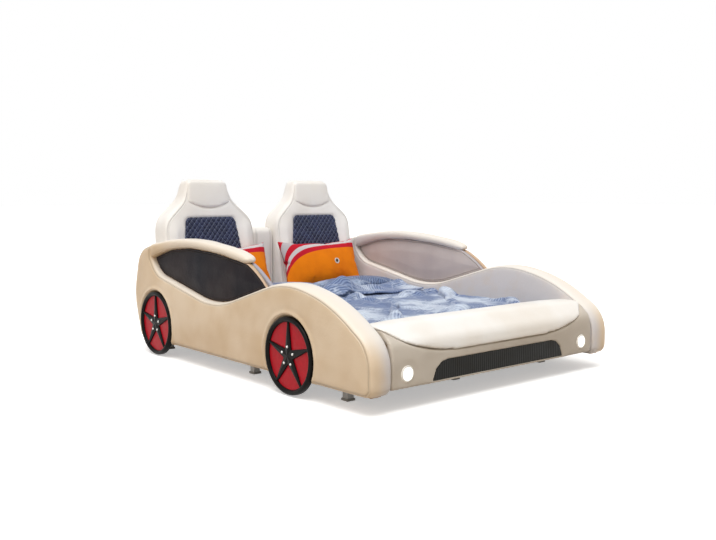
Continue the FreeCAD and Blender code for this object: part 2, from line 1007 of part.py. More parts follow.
def build_lamps():
    rim, tube = S["lamp_radius"], S["lamp_tube_radius"] - S["soft_gap"]
    bore = tube - S["lamp_wall"]
    depth = S["lamp_depth"]
    housing = lamp_body("housing", (
        (bore, -3),
        (rim - 2, -3),
        (rim, ZERO),
        (tube, ZERO),
        (tube, depth),
        (bore, depth),
    ))
    keep(with_left_twin(housing), "lamp_housings")
    glass = bore - 0.2
    lens = lamp_body("lens", (
        (ZERO, -5),
        (glass, ZERO),
        (glass, 4),
        (ZERO, 4),
    ))
    keep(with_left_twin(lens), "lamp_lenses")
    half = 22.6
    centre, height = -(S["lamp_centre"]), S["lamp_height"]
    plate = box(
        "led_plate",
        (centre - half, bumper_face + 42, height - half),
        (centre + half, bumper_face + 44, height + half),
    )
    chip = box(
        "led_chip",
        (centre - 5, bumper_face + 39, height - 5),
        (centre + 5, bumper_face + 42, height + 5),
    )
    board = fuse("led", plate, chip)
    keep(with_left_twin(board), "lamp_leds")


# ---------------------------------------------------------------- power box, switch and leads


box_back = foot_board_front
box_front = box_back - S["box_deep"]
rocker_axis_height = S["box_low"] + 3


def rocker_points():
    """Section of the rocker seen from the side, about its pin."""
    reach = S["rocker_half_length"]
    return (
        (-reach, -3),
        (ZERO, -5.4),
        (reach, -7.2),
        (reach - 1, 1.2),
        (3, 3),
        (-3, 3),
        (-(reach - 1), 5.2),
    )


def lead_slot():
    """Square entry for a lead in the side of the box."""
    reach = S["lead_radius"] + 0.2
    y, z = box_back - S["lead_radius"] - 2, S["box_lead_height"]
    return ((y - reach, z - reach), (y + reach, z - reach), (y + reach, z + reach), (y - reach, z + reach))


def build_power():
    middle = (box_front + box_back) / 2
    body = new_body("power_box")
    sketch = new_sketch(body, "power_outline", "XY_Plane", S["box_low"])
    half = S["box_half"]
    draw_polygon(sketch, ((-half, box_front), (half, box_front), (half, box_back), (-half, box_back)))
    pad(body, sketch, S["box_high"] - S["box_low"])
    front_y = float(box_front)
    soften(body, 4, lambda edge: middle_of(edge).y < front_y + 1, "Chamfer")
    well = new_sketch(body, "rocker_well", "XY_Plane", S["box_low"])
    wide = S["rocker_half_width"] + S["rocker_gap"]
    deep = S["rocker_half_length"] + S["rocker_gap"] * 3
    draw_polygon(well, (
        (-wide, middle - deep), (wide, middle - deep), (wide, middle + deep), (-wide, middle + deep),
    ))
    hollow = body.newObject("PartDesign::Pocket", "RockerWell")
    hollow.Profile = well
    bind(hollow, "Length", 18)
    hollow.Reversed = True
    doc.recompute()
    pins = new_sketch(body, "pin_holes", "YZ_Plane", -(wide + 4))
    draw_circle(pins, middle, rocker_axis_height, S["rocker_pin_radius"] + S["pin_gap"])
    bores = body.newObject("PartDesign::Pocket", "PinHoles")
    bores.Profile = pins
    bind(bores, "Length", (wide + 4) * 2)
    bores.Reversed = True
    entry = new_sketch(body, "lead_entries", "YZ_Plane", -(half + 1))
    draw_polygon(entry, lead_slot())
    entries = body.newObject("PartDesign::Pocket", "LeadEntryRight")
    entries.Profile = entry
    bind(entries, "Length", 11)
    entries.Reversed = True
    far = new_sketch(body, "lead_entries_far", "YZ_Plane", half - 10)
    draw_polygon(far, lead_slot())
    far_entry = body.newObject("PartDesign::Pocket", "LeadEntryLeft")
    far_entry.Profile = far
    bind(far_entry, "Length", 11)
    far_entry.Reversed = True
    keep(body, "battery_box")

    rocker = new_body("rocker")
    sketch = new_sketch(rocker, "rocker_section", "YZ_Plane", -(S["rocker_half_width"]))
    draw_polygon(sketch, rocker_points())
    pad(rocker, sketch, S["rocker_half_width"] * 2)
    doc.recompute()
    pin = new_sketch(rocker, "rocker_pin", "YZ_Plane", -(wide + 3))
    draw_circle(pin, ZERO, ZERO, S["rocker_pin_radius"])
    pad(rocker, pin, (wide + 3) * 2, "Pin")
    place(rocker, ZERO, middle, rocker_axis_height)
    keep(rocker, "rocker_switch")


def lead_path():
    """From the lamp's back, across to the foot board and along it to the power box."""
    height = float(S["lamp_height"])
    x_lamp = -float(S["lamp_centre"])
    x_box = -float(S["box_half"]) + 9
    y_lamp = float(bumper_face + S["lamp_depth"]) - 6
    y_board = float(box_back - S["lead_radius"] - 2)
    bend = float(S["lead_bend"])
    start = Vector(x_lamp, y_lamp, height)
    before = Vector(x_lamp, y_board - bend, height)
    after = Vector(x_lamp + bend, y_board, height)
    end = Vector(x_box, y_board, height)
    diagonal = bend * (1 - math.cos(math.radians(45)))
    middle = Vector(x_lamp + diagonal, y_board - diagonal, height)
    return Part.Wire([line(start, before), arc(before, middle, after), line(after, end)])


def lead_tube(radius):
    """Six-sided lead along its path."""
    path = lead_path()
    start = path.Edges[0].valueAt(path.Edges[0].FirstParameter)
    turns = [math.radians(60 * step) for step in range(6)]
    rim = [start + at_xz(radius * math.cos(turn), radius * math.sin(turn)) for turn in turns]
    ring = Part.Wire([line(a, b) for a, b in zip(rim, rim[1:] + rim[:1])])
    return path.makePipeShell([ring], True, False)


def build_leads():
    right = lead_tube(float(S["lead_radius"]))
    left = right.mirror(Vector(0, 0, 0), Vector(1, 0, 0))
    keep(feature("leads", Part.makeCompound([right, left])), "lamp_leads")
    clips = []
    size = S["clip_size"]
    back = box_back
    run = S["lamp_centre"] - S["lead_bend"] - S["box_half"]
    for share in (0.15, 0.5, 0.85):
        x = -(S["box_half"]) - run * share
        blank = block(
            (x - size / 2, back - S["lead_radius"] * 2 - 4, S["lamp_height"] - size / 2),
            (x + size / 2, back, S["lamp_height"] + size / 2),
        )
        clip = blank.cut(block(
            (x - size, back - S["lead_radius"] * 2 - 2.1, S["lamp_height"] - S["lead_radius"] - 0.1),
            (x + size, back - 1.9, S["lamp_height"] + S["lead_radius"] + 0.1),
        ))
        clips += [clip, clip.mirror(Vector(0, 0, 0), Vector(1, 0, 0))]
    keep(feature("clips", Part.makeCompound(clips)), "lead_clips")


# ---------------------------------------------------------------- bed frame


def post(name, x, y, half, low, high):
    """An upright square bar about a spot on the floor."""
    return box(name, (x - half, y - half, low), (x + half, y + half, high))


def build_frame():
    rail_start, rail_end = foot_board_rear, head_board_front
    rail = new_body("rail")
    sketch = new_sketch(rail, "rail_section", "XZ_Plane", -rail_end)
    wall, low = S["rail_wall"], rail_low
    inner = -(well_half - S["rail_leg_width"])
    draw_polygon(sketch, (
        (-well_half, low),
        (inner, low),
        (inner, low + wall),
        (-(well_half - wall), low + wall),
        (-(well_half - wall), low + S["rail_leg_height"]),
        (-well_half, low + S["rail_leg_height"]),
    ))
    pad(rail, sketch, rail_end - rail_start)
    tools = [rail]
    holes = []
    for y in bolt_places():
        base = (-(well_half + 5), y, S["bolt_height"])
        holes.append(laid(cylinder("rail_hole", S["bolt_radius"] + 0.2, 12, base)))
    bored = cut("rail_bored", tools[0], group("rail_holes", holes))
    keep(bored, "side_rail_right")
    left_of(bored, "side_rail_left")

    crosses = []
    for start in (rail_start, rail_end - S["cross_size"]):
        edge = well_half - 1
        outer = box("cross_outer", (-edge, start, cross_low), (edge, start + S["cross_size"], rail_low))
        hollow = box(
            "cross_hollow",
            (-(edge + 5), start + 2, cross_low + 2),
            (edge + 5, start + S["cross_size"] - 2, rail_low - 2),
        )
        crosses.append(cut("cross_rail", outer, hollow))
    keep(group("crosses", crosses), "cross_rails")

    beam_start, beam_end = rail_start + S["cross_size"], rail_end - S["cross_size"]
    half = S["beam_half"]
    outer = box("beam_outer", (-half, beam_start, cross_low), (half, beam_end, slat_low))
    hollow = box(
        "beam_hollow",
        (-(half - 2), beam_start - 5, cross_low + 2),
        (half - 2, beam_end + 5, slat_low - 2),
    )
    keep(cut("beam", outer, hollow), "centre_beam")

    slats = []
    count = int(float(S["slat_count"]))
    reach = well_half - S["rail_wall"] - 2
    margin = 60
    step = (well_length - margin * 2 - S["slat_width"]) / (count - 1)
    for index in range(count):
        y = well_front + margin + step * index
        slats.append(box("slat", (-reach, y, slat_low), (reach, y + S["slat_width"], S["slat_top"])))
    keep(group("slat_row", slats), "slats")

    legs, feet = [], []
    half, wall, lift = S["leg_half"], S["leg_wall"], S["foot_height"]
    for x, top in ((-(well_half - 24), rail_low), (ZERO, cross_low), (well_half - 24, rail_low)):
        for y in (well_front + 110, as_size(0), rear - 170):
            outer = post("leg_outer", x, y, half, lift, top)
            bore = post("leg_bore", x, y, half - wall, lift - 1, top + 1)
            legs.append(cut("leg", outer, bore))
            base = post("foot_base", x, y, S["foot_half"], ZERO, lift)
            plug = post("foot_plug", x, y, half - wall - 0.1, ZERO, lift + S["foot_plug"])
            feet.append(fuse("foot", base, plug))
    keep(group("leg_set", legs), "legs")
    keep(group("foot_set", feet), "feet")

    bolts = []
    inside = well_half - S["rail_wall"]
    for y in bolt_places():
        reach = S["bolt_length"]
        shank_base = (-(inside + reach), y, S["bolt_height"])
        shank = prism("shank", 12, S["bolt_radius"], reach, shank_base)
        head_base = (-inside, y, S["bolt_height"])
        head = prism("bolt_head", 6, S["bolt_head_radius"], S["bolt_head_height"], head_base)
        bolts.append(fuse("bolt", laid(shank), laid(head)))
    keep(with_left_twin(group("bolts_right", bolts)), "frame_bolts")


# ---------------------------------------------------------------- bedding


def drawn_in_outline(half_long, half_wide, height):
    """Four corners joined by sides that bow inward, each in four short straight runs."""
    corners = [
        Vector(-half_long, -half_wide, height), Vector(half_long, -half_wide, height),
        Vector(half_long, half_wide, height), Vector(-half_long, half_wide, height),
    ]
    points = []
    for start, end in zip(corners, corners[1:] + corners[:1]):
        inward = (Vector(0, 0, height) - (start + end) / 2).normalize()
        bow = inward * (end - start).Length * 0.11
        for share in (0, 0.25, 0.5, 0.75):
            points.append(start + (end - start) * share + bow * share * (1 - share))
    return Part.Wire([line(a, b) for a, b in zip(points, points[1:] + points[:1])])


def flat_sided(form):
    """The same solid with each of its flat panels as a true plane."""
    panels = []
    for panel in form.Faces:
        corners = [vertex.Point for vertex in panel.OuterWire.OrderedVertexes]
        panels.append(Part.Face(Part.makePolygon(corners + corners[:1])))
    shell = Part.Shell(panels)
    shell.sewShape()
    return Part.Solid(shell)


def crowned_form(long, wide, thick):
    """A stuffed cushion lying flat: drawn-in sides between its corners, crowned on both faces."""
    crown = ((0, 0), (0.05, 0.45), (0.14, 0.74), (0.26, 0.93), (0.38, 1))
    levels = [(inset, -rise) for inset, rise in reversed(crown[1:])] + list(crown)
    form = Part.makeLoft([
        drawn_in_outline(long / 2 - inset * wide, wide / 2 - inset * wide, rise * thick / 2)
        for inset, rise in levels
    ], True, True)
    return flat_sided(form)


def duvet_height(x, y):
    """Soft cross folds that run from side to side and fade towards the edges."""
    wave = math.sin(x / 115 + y / 260) * 0.6 + math.sin(y / 95 - x / 400) * 0.4
    return float(S["duvet_thick"]) + float(S["duvet_wave"]) * wave


def duvet_shape():
    low = float(mattress_top) + float(S["soft_gap"])
    near, far = float(well_front) + 8, float(S["duvet_head_end"])
    left, right = 8 - float(well_half), float(well_half) - 110
    wires = []
    rows, humps = 9, 6
    for row in range(rows + 1):
        y = near + (far - near) * row / rows
        spots = [left + (right - left) * n / (2 * humps) for n in range(2 * humps + 1)]
        tops = [Vector(x, y, low + duvet_height(x, y)) for x in spots]
        tops[0].z = tops[-1].z = low + float(S["duvet_thick"]) * 0.5
        edges = [arc(*tops[n:n + 3]) for n in range(0, 2 * humps, 2)]
        edges.append(line(tops[-1], Vector(right, y, low)))
        edges.append(line(Vector(right, y, low), Vector(left, y, low)))
        edges.append(line(Vector(left, y, low), tops[0]))
        wires.append(Part.Wire(edges))
    return Part.makeLoft(wires, True, True)


def build_bedding():
    half_w, half_l = S["mattress_width"] / 2, S["mattress_length"] / 2
    middle = (well_front + well_rear) / 2
    block_item = block(
        (-half_w, middle - half_l, mattress_low),
        (half_w, middle + half_l, mattress_top),
    )
    upright = rounded(block_item, S["mattress_round"], lambda edge: edge.BoundBox.ZLength > 100)
    keep(feature("mattress_block", upright), "mattress")
    keep(feature("duvet_form", duvet_shape()), "duvet")

    rest = float(mattress_top + S["soft_gap"])
    for name, x, y, turn in (("right", -185, 535, -12), ("left", 440, 540, 8)):
        form = crowned_form(*[float(S[key]) for key in ("pillow_long", "pillow_wide", "pillow_thick")])
        lift = rest + float(S["pillow_thick"]) / 2
        form.Placement = Placement(Vector(x, y, lift), Rotation(Vector(0, 0, 1), turn))
        keep(feature(f"blue_{name}", form), f"pillow_blue_{name}")

    tilt = float(S["cushion_tilt"])
    tall, thick = float(S["cushion_tall"]), float(S["cushion_thick"])
    for name, x in (("right", -385), ("left", 385)):
        form = crowned_form(float(S["cushion_long"]), tall, thick)
        lift = rest + tall / 2 * math.cos(math.radians(tilt)) + 0.5
        y = 847
        form.Placement = Placement(Vector(x, y, lift), Rotation(Vector(1, 0, 0), 90 - tilt))
        keep(feature(f"cushion_{name}", form), f"pillow_orange_{name}")


# ---------------------------------------------------------------- build and export

build_side()
build_wheels()
build_headboard()
build_bonnet()
build_boards()
build_lamps()
build_power()
build_leads()
build_frame()
build_bedding()
doc.recompute()

faults = [item.Label for item in doc.Objects if {"Invalid", "Error"} & set(item.State)]
faults += [item.Label for item in nodes if item.Shape.isNull() or not item.Shape.isValid()]
if faults:
    raise RuntimeError("failed: " + ", ".join(faults))

os.makedirs("parts", exist_ok=True)
for item in nodes:
    item.Shape.exportStep(f"parts/{item.Label}.step")
print(len(nodes), "sub-parts written")
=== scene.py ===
import math

import bmesh
import bpy
import numpy as np
from mathutils import Matrix, Vector
from mathutils.bvhtree import BVHTree


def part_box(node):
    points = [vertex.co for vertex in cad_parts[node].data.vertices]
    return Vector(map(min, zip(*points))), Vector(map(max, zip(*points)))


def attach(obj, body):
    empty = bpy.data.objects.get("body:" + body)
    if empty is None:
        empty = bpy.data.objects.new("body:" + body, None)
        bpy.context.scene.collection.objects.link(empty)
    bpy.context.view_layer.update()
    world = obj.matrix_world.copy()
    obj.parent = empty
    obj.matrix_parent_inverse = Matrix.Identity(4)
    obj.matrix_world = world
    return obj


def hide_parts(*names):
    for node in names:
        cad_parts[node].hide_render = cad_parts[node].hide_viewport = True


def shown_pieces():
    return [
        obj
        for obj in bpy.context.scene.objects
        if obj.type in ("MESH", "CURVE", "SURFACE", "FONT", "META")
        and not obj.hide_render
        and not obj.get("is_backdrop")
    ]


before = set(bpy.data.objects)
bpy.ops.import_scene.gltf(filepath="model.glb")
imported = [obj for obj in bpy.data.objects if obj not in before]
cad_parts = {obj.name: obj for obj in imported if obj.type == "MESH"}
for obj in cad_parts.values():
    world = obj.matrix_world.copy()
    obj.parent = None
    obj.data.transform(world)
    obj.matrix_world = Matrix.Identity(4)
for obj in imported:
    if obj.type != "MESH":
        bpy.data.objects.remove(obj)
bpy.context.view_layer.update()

# Car bed for children, in metres: bonnet towards -Y, headboard towards +Y, its right side at -X.

scene = bpy.context.scene
scene.view_settings.view_transform = "Standard"

# Places and sizes of the CAD. OUT is a distance from the bed's middle plane.
SIDES = (("right", -1), ("left", 1))
AXLES = (-0.5495, 0.8415)  # front and rear
WHEEL_Z = 0.198
WHEEL_OUT = 0.877  # floor of a wheel's recess
RIM_RADIUS = 0.194
RIM_INNER = 0.168
CAP_RADIUS = 0.046  # of the nut covers' circle
STAR_ANGLE = 72  # degrees from one spoke to the next
SIDE_OUT = 0.825  # middle of a padded side
SLOT_OUT = (0.787, 0.863)  # faces of its slot for the timber former
SEAT_X = 0.424
SEAT_FOOT = Vector((0, 0.8835, 0.232))
SEAT_LEAN = math.radians(9)
SEAT_CUT = 1.09  # y where a seat's outline is read
LAMP_X = 0.66
LAMP_Z = 0.174
LENS_Y = -1.147


def rgb(code):
    """Linear colour from an sRGB hex code."""
    parts = [int(code[at:at + 2], 16) / 255 for at in (0, 2, 4)]
    return tuple(c / 12.92 if c <= 0.04045 else ((c + 0.055) / 1.055) ** 2.4 for c in parts) + (1,)


# ------------ camera, light and floor

CAMERA_DIP, CAMERA_TURN = 0.0896, 0.7011  # radians below level, and from +Y towards +X

camera = bpy.data.objects.new("camera", bpy.data.cameras.new("camera"))
scene.collection.objects.link(camera)
camera.location = (-3.2915, -3.9136, 0.9899)
camera.rotation_euler = (math.pi / 2 - CAMERA_DIP, 0, -CAMERA_TURN)
camera.data.lens = 42.87
camera.data.sensor_width = 36
scene.camera = camera


def lamp(name, kind, energy, aim, place=(0, 0, 3), **settings):
    """A light that looks along the given direction."""
    light = bpy.data.objects.new(name, bpy.data.lights.new(name, kind))
    scene.collection.objects.link(light)
    light.data.energy = energy
    for key, value in settings.items():
        setattr(light.data, key, value)
    light.location = place
    light.rotation_euler = Vector(aim).to_track_quat("-Z", "Y").to_euler()


lamp("soft_key", "SUN", 1.85, (0.3, 0.26, -1), angle=math.radians(38))
lamp("warm_side", "SUN", 0.5, (1, 0.3, -0.4), angle=math.radians(60), color=(1, 0.9, 0.78))
lamp("long_softbox", "AREA", 9, (0.1, 0.5, -1), (-0.4, -2.2, 3.0),
     shape="RECTANGLE", size=3.2, size_y=0.7)


class Paint:
    """A procedural material: small helpers that add nodes and link them."""

    def __init__(self, name, **sockets):
        self.material = bpy.data.materials.new(name)
        self.material.use_nodes = True
        self.tree = self.material.node_tree
        self.shader = self.tree.nodes["Principled BSDF"]
        self.coords = self.tree.nodes.new("ShaderNodeTexCoord").outputs["Object"]
        for socket, value in sockets.items():
            self.put(self.shader, socket.replace("_", " "), value)

    def put(self, node, socket, value):
        target = node.inputs[socket]
        if isinstance(value, bpy.types.NodeSocket):
            self.tree.links.new(value, target)
        else:
            target.default_value = value

    def node(self, kind, inputs, **settings):
        made = self.tree.nodes.new(f"ShaderNode{kind}")
        for key, value in settings.items():
            setattr(made, key, value)
        for socket, value in inputs.items():
            self.put(made, socket, value)
        return made

    def math(self, operation, first, second=0.0):
        return self.node("Math", {0: first, 1: second}, operation=operation).outputs[0]

    def noise(self, scale, detail=2.0, rough=0.5, warp=0.0, where=None):
        inputs = {"Vector": where or self.coords, "Scale": scale, "Detail": detail}
        inputs |= {"Roughness": rough, "Distortion": warp}
        return self.node("TexNoise", inputs).outputs["Fac"]

    def cells(self, scale, feature="F1"):
        inputs = {"Vector": self.coords, "Scale": scale}
        return self.node("TexVoronoi", inputs, feature=feature).outputs["Distance"]

    def ramp(self, value, low, high, start=0.0, end=1.0):
        """Goes smoothly from start to end as the value goes from low to high."""
        inputs = {"Value": value, "From Min": low, "From Max": high, "To Min": start, "To Max": end}
        return self.node("MapRange", inputs, interpolation_type="SMOOTHSTEP").outputs[0]

    def mix(self, share, first, second):
        made = self.node("Mix", {}, data_type="RGBA")
        for index, value in ((0, share), (6, first), (7, second)):
            self.put(made, index, value)
        return made.outputs[2]

    def data(self, name):
        return self.node("Attribute", {}, attribute_name=name).outputs["Fac"]

    def axes(self, where=None):
        return self.node("SeparateXYZ", {0: where or self.coords}).outputs

    def times(self, first, second):
        return self.math("MULTIPLY", first, second)

    def sine(self, value, rate):
        return self.math("SINE", self.times(value, rate))

    def weave(self, warp, warp_rate, weft, weft_rate):
        """Crossing threads, from -1 to 1."""
        return self.times(self.sine(warp, warp_rate), self.sine(weft, weft_rate))

    def colour(self, value):
        self.put(self.shader, "Base Color", value)

    def rough(self, value):
        self.put(self.shader, "Roughness", value)

    def bump(self, *layers):
        """Stacks (height, depth in metres) layers of relief."""
        normal = None
        for height, depth in layers:
            inputs = {"Height": height, "Distance": depth, "Strength": 1.0}
            if normal:
                inputs["Normal"] = normal
            normal = self.node("Bump", inputs).outputs[0]
        self.put(self.shader, "Normal", normal)


# ------------ materials

STITCH_PITCH, STITCH_SHARE = 0.008, 0.62  # one stitch with its gap, and the share that is thread
STITCH_ROW, STITCH_WIDTH = 0.0062, 0.0012  # the row's distance from its seam, and its half width
QUILT_PITCH, QUILT_SHARE = 0.0045, 0.85  # the same for the quilting
LEAF_SCALE, LEAF_TURN = 5.5, 6.3  # leaves to a metre, and how far one may turn, in radians
# Radians to a metre for hatching, ribs, rings and threads
HATCH_RATE, RIB_RATE, RING_RATE = 400.0, 420.0, 1500.0
PRINT_THREADS, SHEET_THREADS = 5200.0, 4200.0
STRIPE_THREADS = (1900.0, 1000.0)  # radians to half the cushion's length and width


def leather(name, light, dark, roughness, inner=None, rim=None, thread="d8cbb4", sewn=0.3,
            gloss=0.4):
    """Smooth upholstery leather: grain, soft creases, handled patches, sewn seams with painted
    shade along them. Where asked, inward faces take a greyer colour as painted shade, and faces
    noted as rim take the rim colour as painted light (a paler rim colour is a highlight, a darker
    one is shade).
    """
    paint = Paint(name, Specular_IOR_Level=gloss)
    broad = paint.noise(2.2, 3.0)
    patch = paint.noise(9.0, 4.0, 0.6)
    base = paint.mix(paint.ramp(broad, 0.35, 0.7), rgb(light), rgb(dark))
    # painted shade: faces near the bed's middle take the greyer inner colour, blended out to the
    # warm outward faces
    if inner:
        side = paint.math("ABSOLUTE", paint.axes()["X"])
        base = paint.mix(paint.ramp(side, 0.775, 0.86), rgb(inner), base)
    base = paint.mix(paint.ramp(patch, 0.45, 0.8, 0.0, 0.22), base, rgb(dark))
    seam = paint.math("ABSOLUTE", paint.data("seam"))
    fold = paint.ramp(seam, 0.0005, 0.0045, 1.0, 0.0)
    # painted light: the noted rim share blends in the rim colour, a painted highlight where it is
    # paler than the hide and painted shade where it is darker
    if rim:
        base = paint.mix(paint.data("rim"), base, rgb(rim))
    # painted shade: along each seam the colour darkens towards brown-grey, as shade lying in its
    # groove; sewn sets how strong it is
    base = paint.mix(paint.times(fold, sewn), base, rgb("4c4138"))
    dash = paint.math("FRACT", paint.math("DIVIDE", paint.data("run"), STITCH_PITCH))
    from_row = paint.math("ABSOLUTE", paint.math("SUBTRACT", seam, STITCH_ROW))
    row = paint.ramp(from_row, 0.0, STITCH_WIDTH, 1.0, 0.0)
    stitch = paint.times(row, paint.math("LESS_THAN", dash, STITCH_SHARE))
    base = paint.mix(paint.times(stitch, 0.5), base, rgb(thread))
    paint.colour(base)
    paint.rough(paint.ramp(patch, 0.3, 0.75, roughness - 0.05, roughness + 0.09))
    grain = paint.cells(430.0)
    crease = paint.noise(38.0, 5.0, 0.6, 0.8)
    paint.bump((crease, 0.0012), (grain, 0.00028), (fold, -0.003), (stitch, 0.0009))
    return paint.material


def quilted_leather():
    """Navy diamond quilting with thread along each sewn line."""
    paint = Paint("quilted_navy", Specular_IOR_Level=0.35)
    line = paint.data("quilt")
    patch = paint.noise(14.0, 4.0)
    base = paint.mix(paint.ramp(patch, 0.3, 0.75), rgb("1d2440"), rgb("2c3456"))
    sewn = paint.ramp(line, 0.0006, 0.0034, 1.0, 0.0)
    # painted shade: the navy darkens along each sewn line, as shade in the quilting's dips
    base = paint.mix(paint.times(sewn, 0.7), base, rgb("0f1424"))
    dash = paint.math("FRACT", paint.math("DIVIDE", paint.axes()["Z"], QUILT_PITCH))
    row = paint.ramp(line, 0.0004, 0.0021, 1.0, 0.0)
    stitch = paint.times(row, paint.math("LESS_THAN", dash, QUILT_SHARE))
    thread = paint.ramp(line, 0.0005, 0.0017, 0.85, 0.0)
    base = paint.mix(thread, base, rgb("8f9bbd"))
    paint.colour(base)
    paint.rough(paint.ramp(patch, 0.3, 0.75, 0.33, 0.46))
    paint.bump((paint.noise(60.0, 4.0), 0.0008), (paint.cells(480.0), 0.00025),
               (sewn, -0.0018), (stitch, 0.0005))
    return paint.material


def blue_print(name, light, mid, dark):
    """Cotton bedding with loose hatched leaves, no two patches running the same way."""
    paint = Paint(name, Roughness=0.84, Sheen_Weight=0.2, Sheen_Roughness=0.5)
    leaf = paint.node("TexVoronoi", {"Vector": paint.coords, "Scale": LEAF_SCALE})
    turn = paint.times(paint.axes(leaf.outputs["Color"])[0], LEAF_TURN)
    bend = paint.times(paint.noise(9.0, 2.0), 0.05)
    x, y = paint.axes()["X"], paint.axes()["Y"]
    drift = paint.math("ADD", paint.times(x, paint.math("SINE", turn)),
                       paint.times(y, paint.math("COSINE", turn)))
    hatch = paint.sine(paint.math("ADD", drift, bend), HATCH_RATE)
    vein = paint.ramp(paint.cells(LEAF_SCALE, "DISTANCE_TO_EDGE"), 0.0, 0.045, 0.24, 0.0)
    field = paint.ramp(paint.noise(3.4, 4.0, 0.6, 0.4), 0.42, 0.6)
    base = paint.mix(field, rgb(mid), rgb(light))
    faint = paint.ramp(field, 0.1, 0.9, 0.85, 0.22)
    lines = paint.times(paint.ramp(hatch, -0.2, 0.5), faint)
    base = paint.mix(lines, base, rgb(dark))
    base = paint.mix(vein, base, rgb("dfe6ef"))
    paint.colour(base)
    thread = paint.weave(x, PRINT_THREADS, y, PRINT_THREADS)
    paint.bump((paint.noise(17.0, 6.0, 0.62, 0.9), 0.007), (thread, 0.00015))
    return paint.material


def cushion_stripes():
    """Orange cotton with sweeping bands over one corner and along the top."""
    paint = Paint("striped_cotton", Roughness=0.8, Specular_IOR_Level=0.2, Sheen_Weight=0.04)
    u, v = paint.data("along"), paint.data("across")
    sweep = paint.math("EXPONENT", paint.math("DIVIDE", paint.math("ADD", u, 1.0), -0.3))
    level = paint.math("ADD", paint.math("SUBTRACT", v, 0.5), paint.times(sweep, 0.95))
    level = paint.math("SUBTRACT", level, paint.times(u, 0.06))
    fade = paint.noise(7.0, 4.0)
    base = paint.mix(paint.ramp(fade, 0.3, 0.75), rgb("f58600"), rgb("e27200"))
    # level at which each band starts, and its colour
    bands = ((0.0, "c4122a"), (0.2, "cfc9c9"), (0.38, "c4122a"), (0.66, "bdb6b9"), (1.1, "c4122a"))
    for start, code in bands:
        edge = paint.ramp(level, start - 0.004, start + 0.004)
        base = paint.mix(edge, base, rgb(code))
    border = paint.math("MAXIMUM", paint.math("ABSOLUTE", u), paint.math("ABSOLUTE", v))
    piping = paint.ramp(border, 0.975, 0.99)
    base = paint.mix(paint.times(piping, 0.55), base, rgb("7a1418"))
    paint.colour(base)
    thread = paint.weave(u, STRIPE_THREADS[0], v, STRIPE_THREADS[1])
    paint.bump((paint.noise(20.0, 5.0, 0.6, 0.5), 0.003), (thread, 0.00018))
    return paint.material


def plastic(name, code, roughness, speckle=0.12, metallic=0.0, gloss=0.5):
    """Moulded or painted part: faint flow marks and dust in the gloss."""
    paint = Paint(name, Metallic=metallic, Specular_IOR_Level=gloss)
    flow = paint.noise(26.0, 5.0, 0.6, 0.4)
    base = rgb(code)
    pale = tuple(min(1.0, c * (1 + speckle) + 0.004) for c in base[:3]) + (1,)
    paint.colour(paint.mix(paint.ramp(flow, 0.35, 0.7), base, pale))
    paint.rough(paint.ramp(flow, 0.3, 0.75, roughness * 0.85, roughness * 1.25))
    paint.bump((paint.noise(340.0, 3.0), 0.00008), (flow, 0.0003))
    return paint.material


def wood(name, light, dark, stretch):
    """Sawn timber or plywood. The stretch squeezes its grain across the board."""
    paint = Paint(name, Specular_IOR_Level=0.3)
    both = {0: paint.coords, 1: stretch}
    stretched = paint.node("VectorMath", both, operation="MULTIPLY").outputs[0]
    grain = paint.noise(6.0, 6.0, 0.65, 1.4, stretched)
    pores = paint.noise(90.0, 3.0, 0.6, 0.0, stretched)
    base = paint.mix(paint.ramp(grain, 0.32, 0.7), rgb(light), rgb(dark))
    base = paint.mix(paint.ramp(pores, 0.55, 0.75, 0.0, 0.35), base, rgb("5a3f26"))
    paint.colour(base)
    paint.rough(paint.ramp(grain, 0.3, 0.7, 0.5, 0.72))
    paint.bump((grain, 0.0006), (pores, 0.0003))
    return paint.material


def steel(name, code, roughness, metallic):
    """Painted or plated steel: orange peel, scuffs and small scratches."""
    paint = Paint(name, Metallic=metallic)
    scuff = paint.noise(18.0, 6.0, 0.65, 0.6)
    base = rgb(code)
    pale = tuple(min(1.0, c * 1.5 + 0.03) for c in base[:3]) + (1,)
    paint.colour(paint.mix(paint.ramp(scuff, 0.5, 0.8), base, pale))
    paint.rough(paint.ramp(scuff, 0.3, 0.8, roughness * 0.8, roughness * 1.3))
    paint.bump((paint.noise(150.0, 2.0), 0.00025), (scuff, 0.0003))
    return paint.material


def grille_black():
    """Near-black moulded grille, with fine upright ribs."""
    paint = Paint("grille_black_finish", Specular_IOR_Level=0.15)
    rib = paint.sine(paint.axes()["X"], RIB_RATE)
    dust = paint.noise(16.0, 5.0, 0.6)
    paint.colour(paint.mix(paint.ramp(dust, 0.4, 0.75), rgb("100f0b"), rgb("1b1914")))
    paint.rough(paint.ramp(dust, 0.3, 0.75, 0.34, 0.55))
    paint.bump((rib, 0.00035), (paint.noise(300.0), 0.00006))
    return paint.material


def lit_lens():
    """Glowing diffuser with rings pressed in its back."""
    paint = Paint("lit_lens", Base_Color=rgb("fbfaf6"), Emission_Strength=1.3, Roughness=0.2)
    x, z = paint.axes()["X"], paint.axes()["Z"]
    across = paint.math("SUBTRACT", paint.math("ABSOLUTE", x), LAMP_X)
    up = paint.math("SUBTRACT", z, LAMP_Z)
    reach = paint.math("SQRT", paint.math("ADD", paint.times(across, across),
                                          paint.times(up, up)))
    ring = paint.sine(reach, RING_RATE)
    glow = paint.mix(paint.ramp(reach, 0.012, 0.037), rgb("ffffff"), rgb("f6f0e2"))
    paint.put(paint.shader, "Emission Color", glow)
    paint.bump((ring, 0.0005), (paint.noise(80.0), 0.0002))
    return paint.material


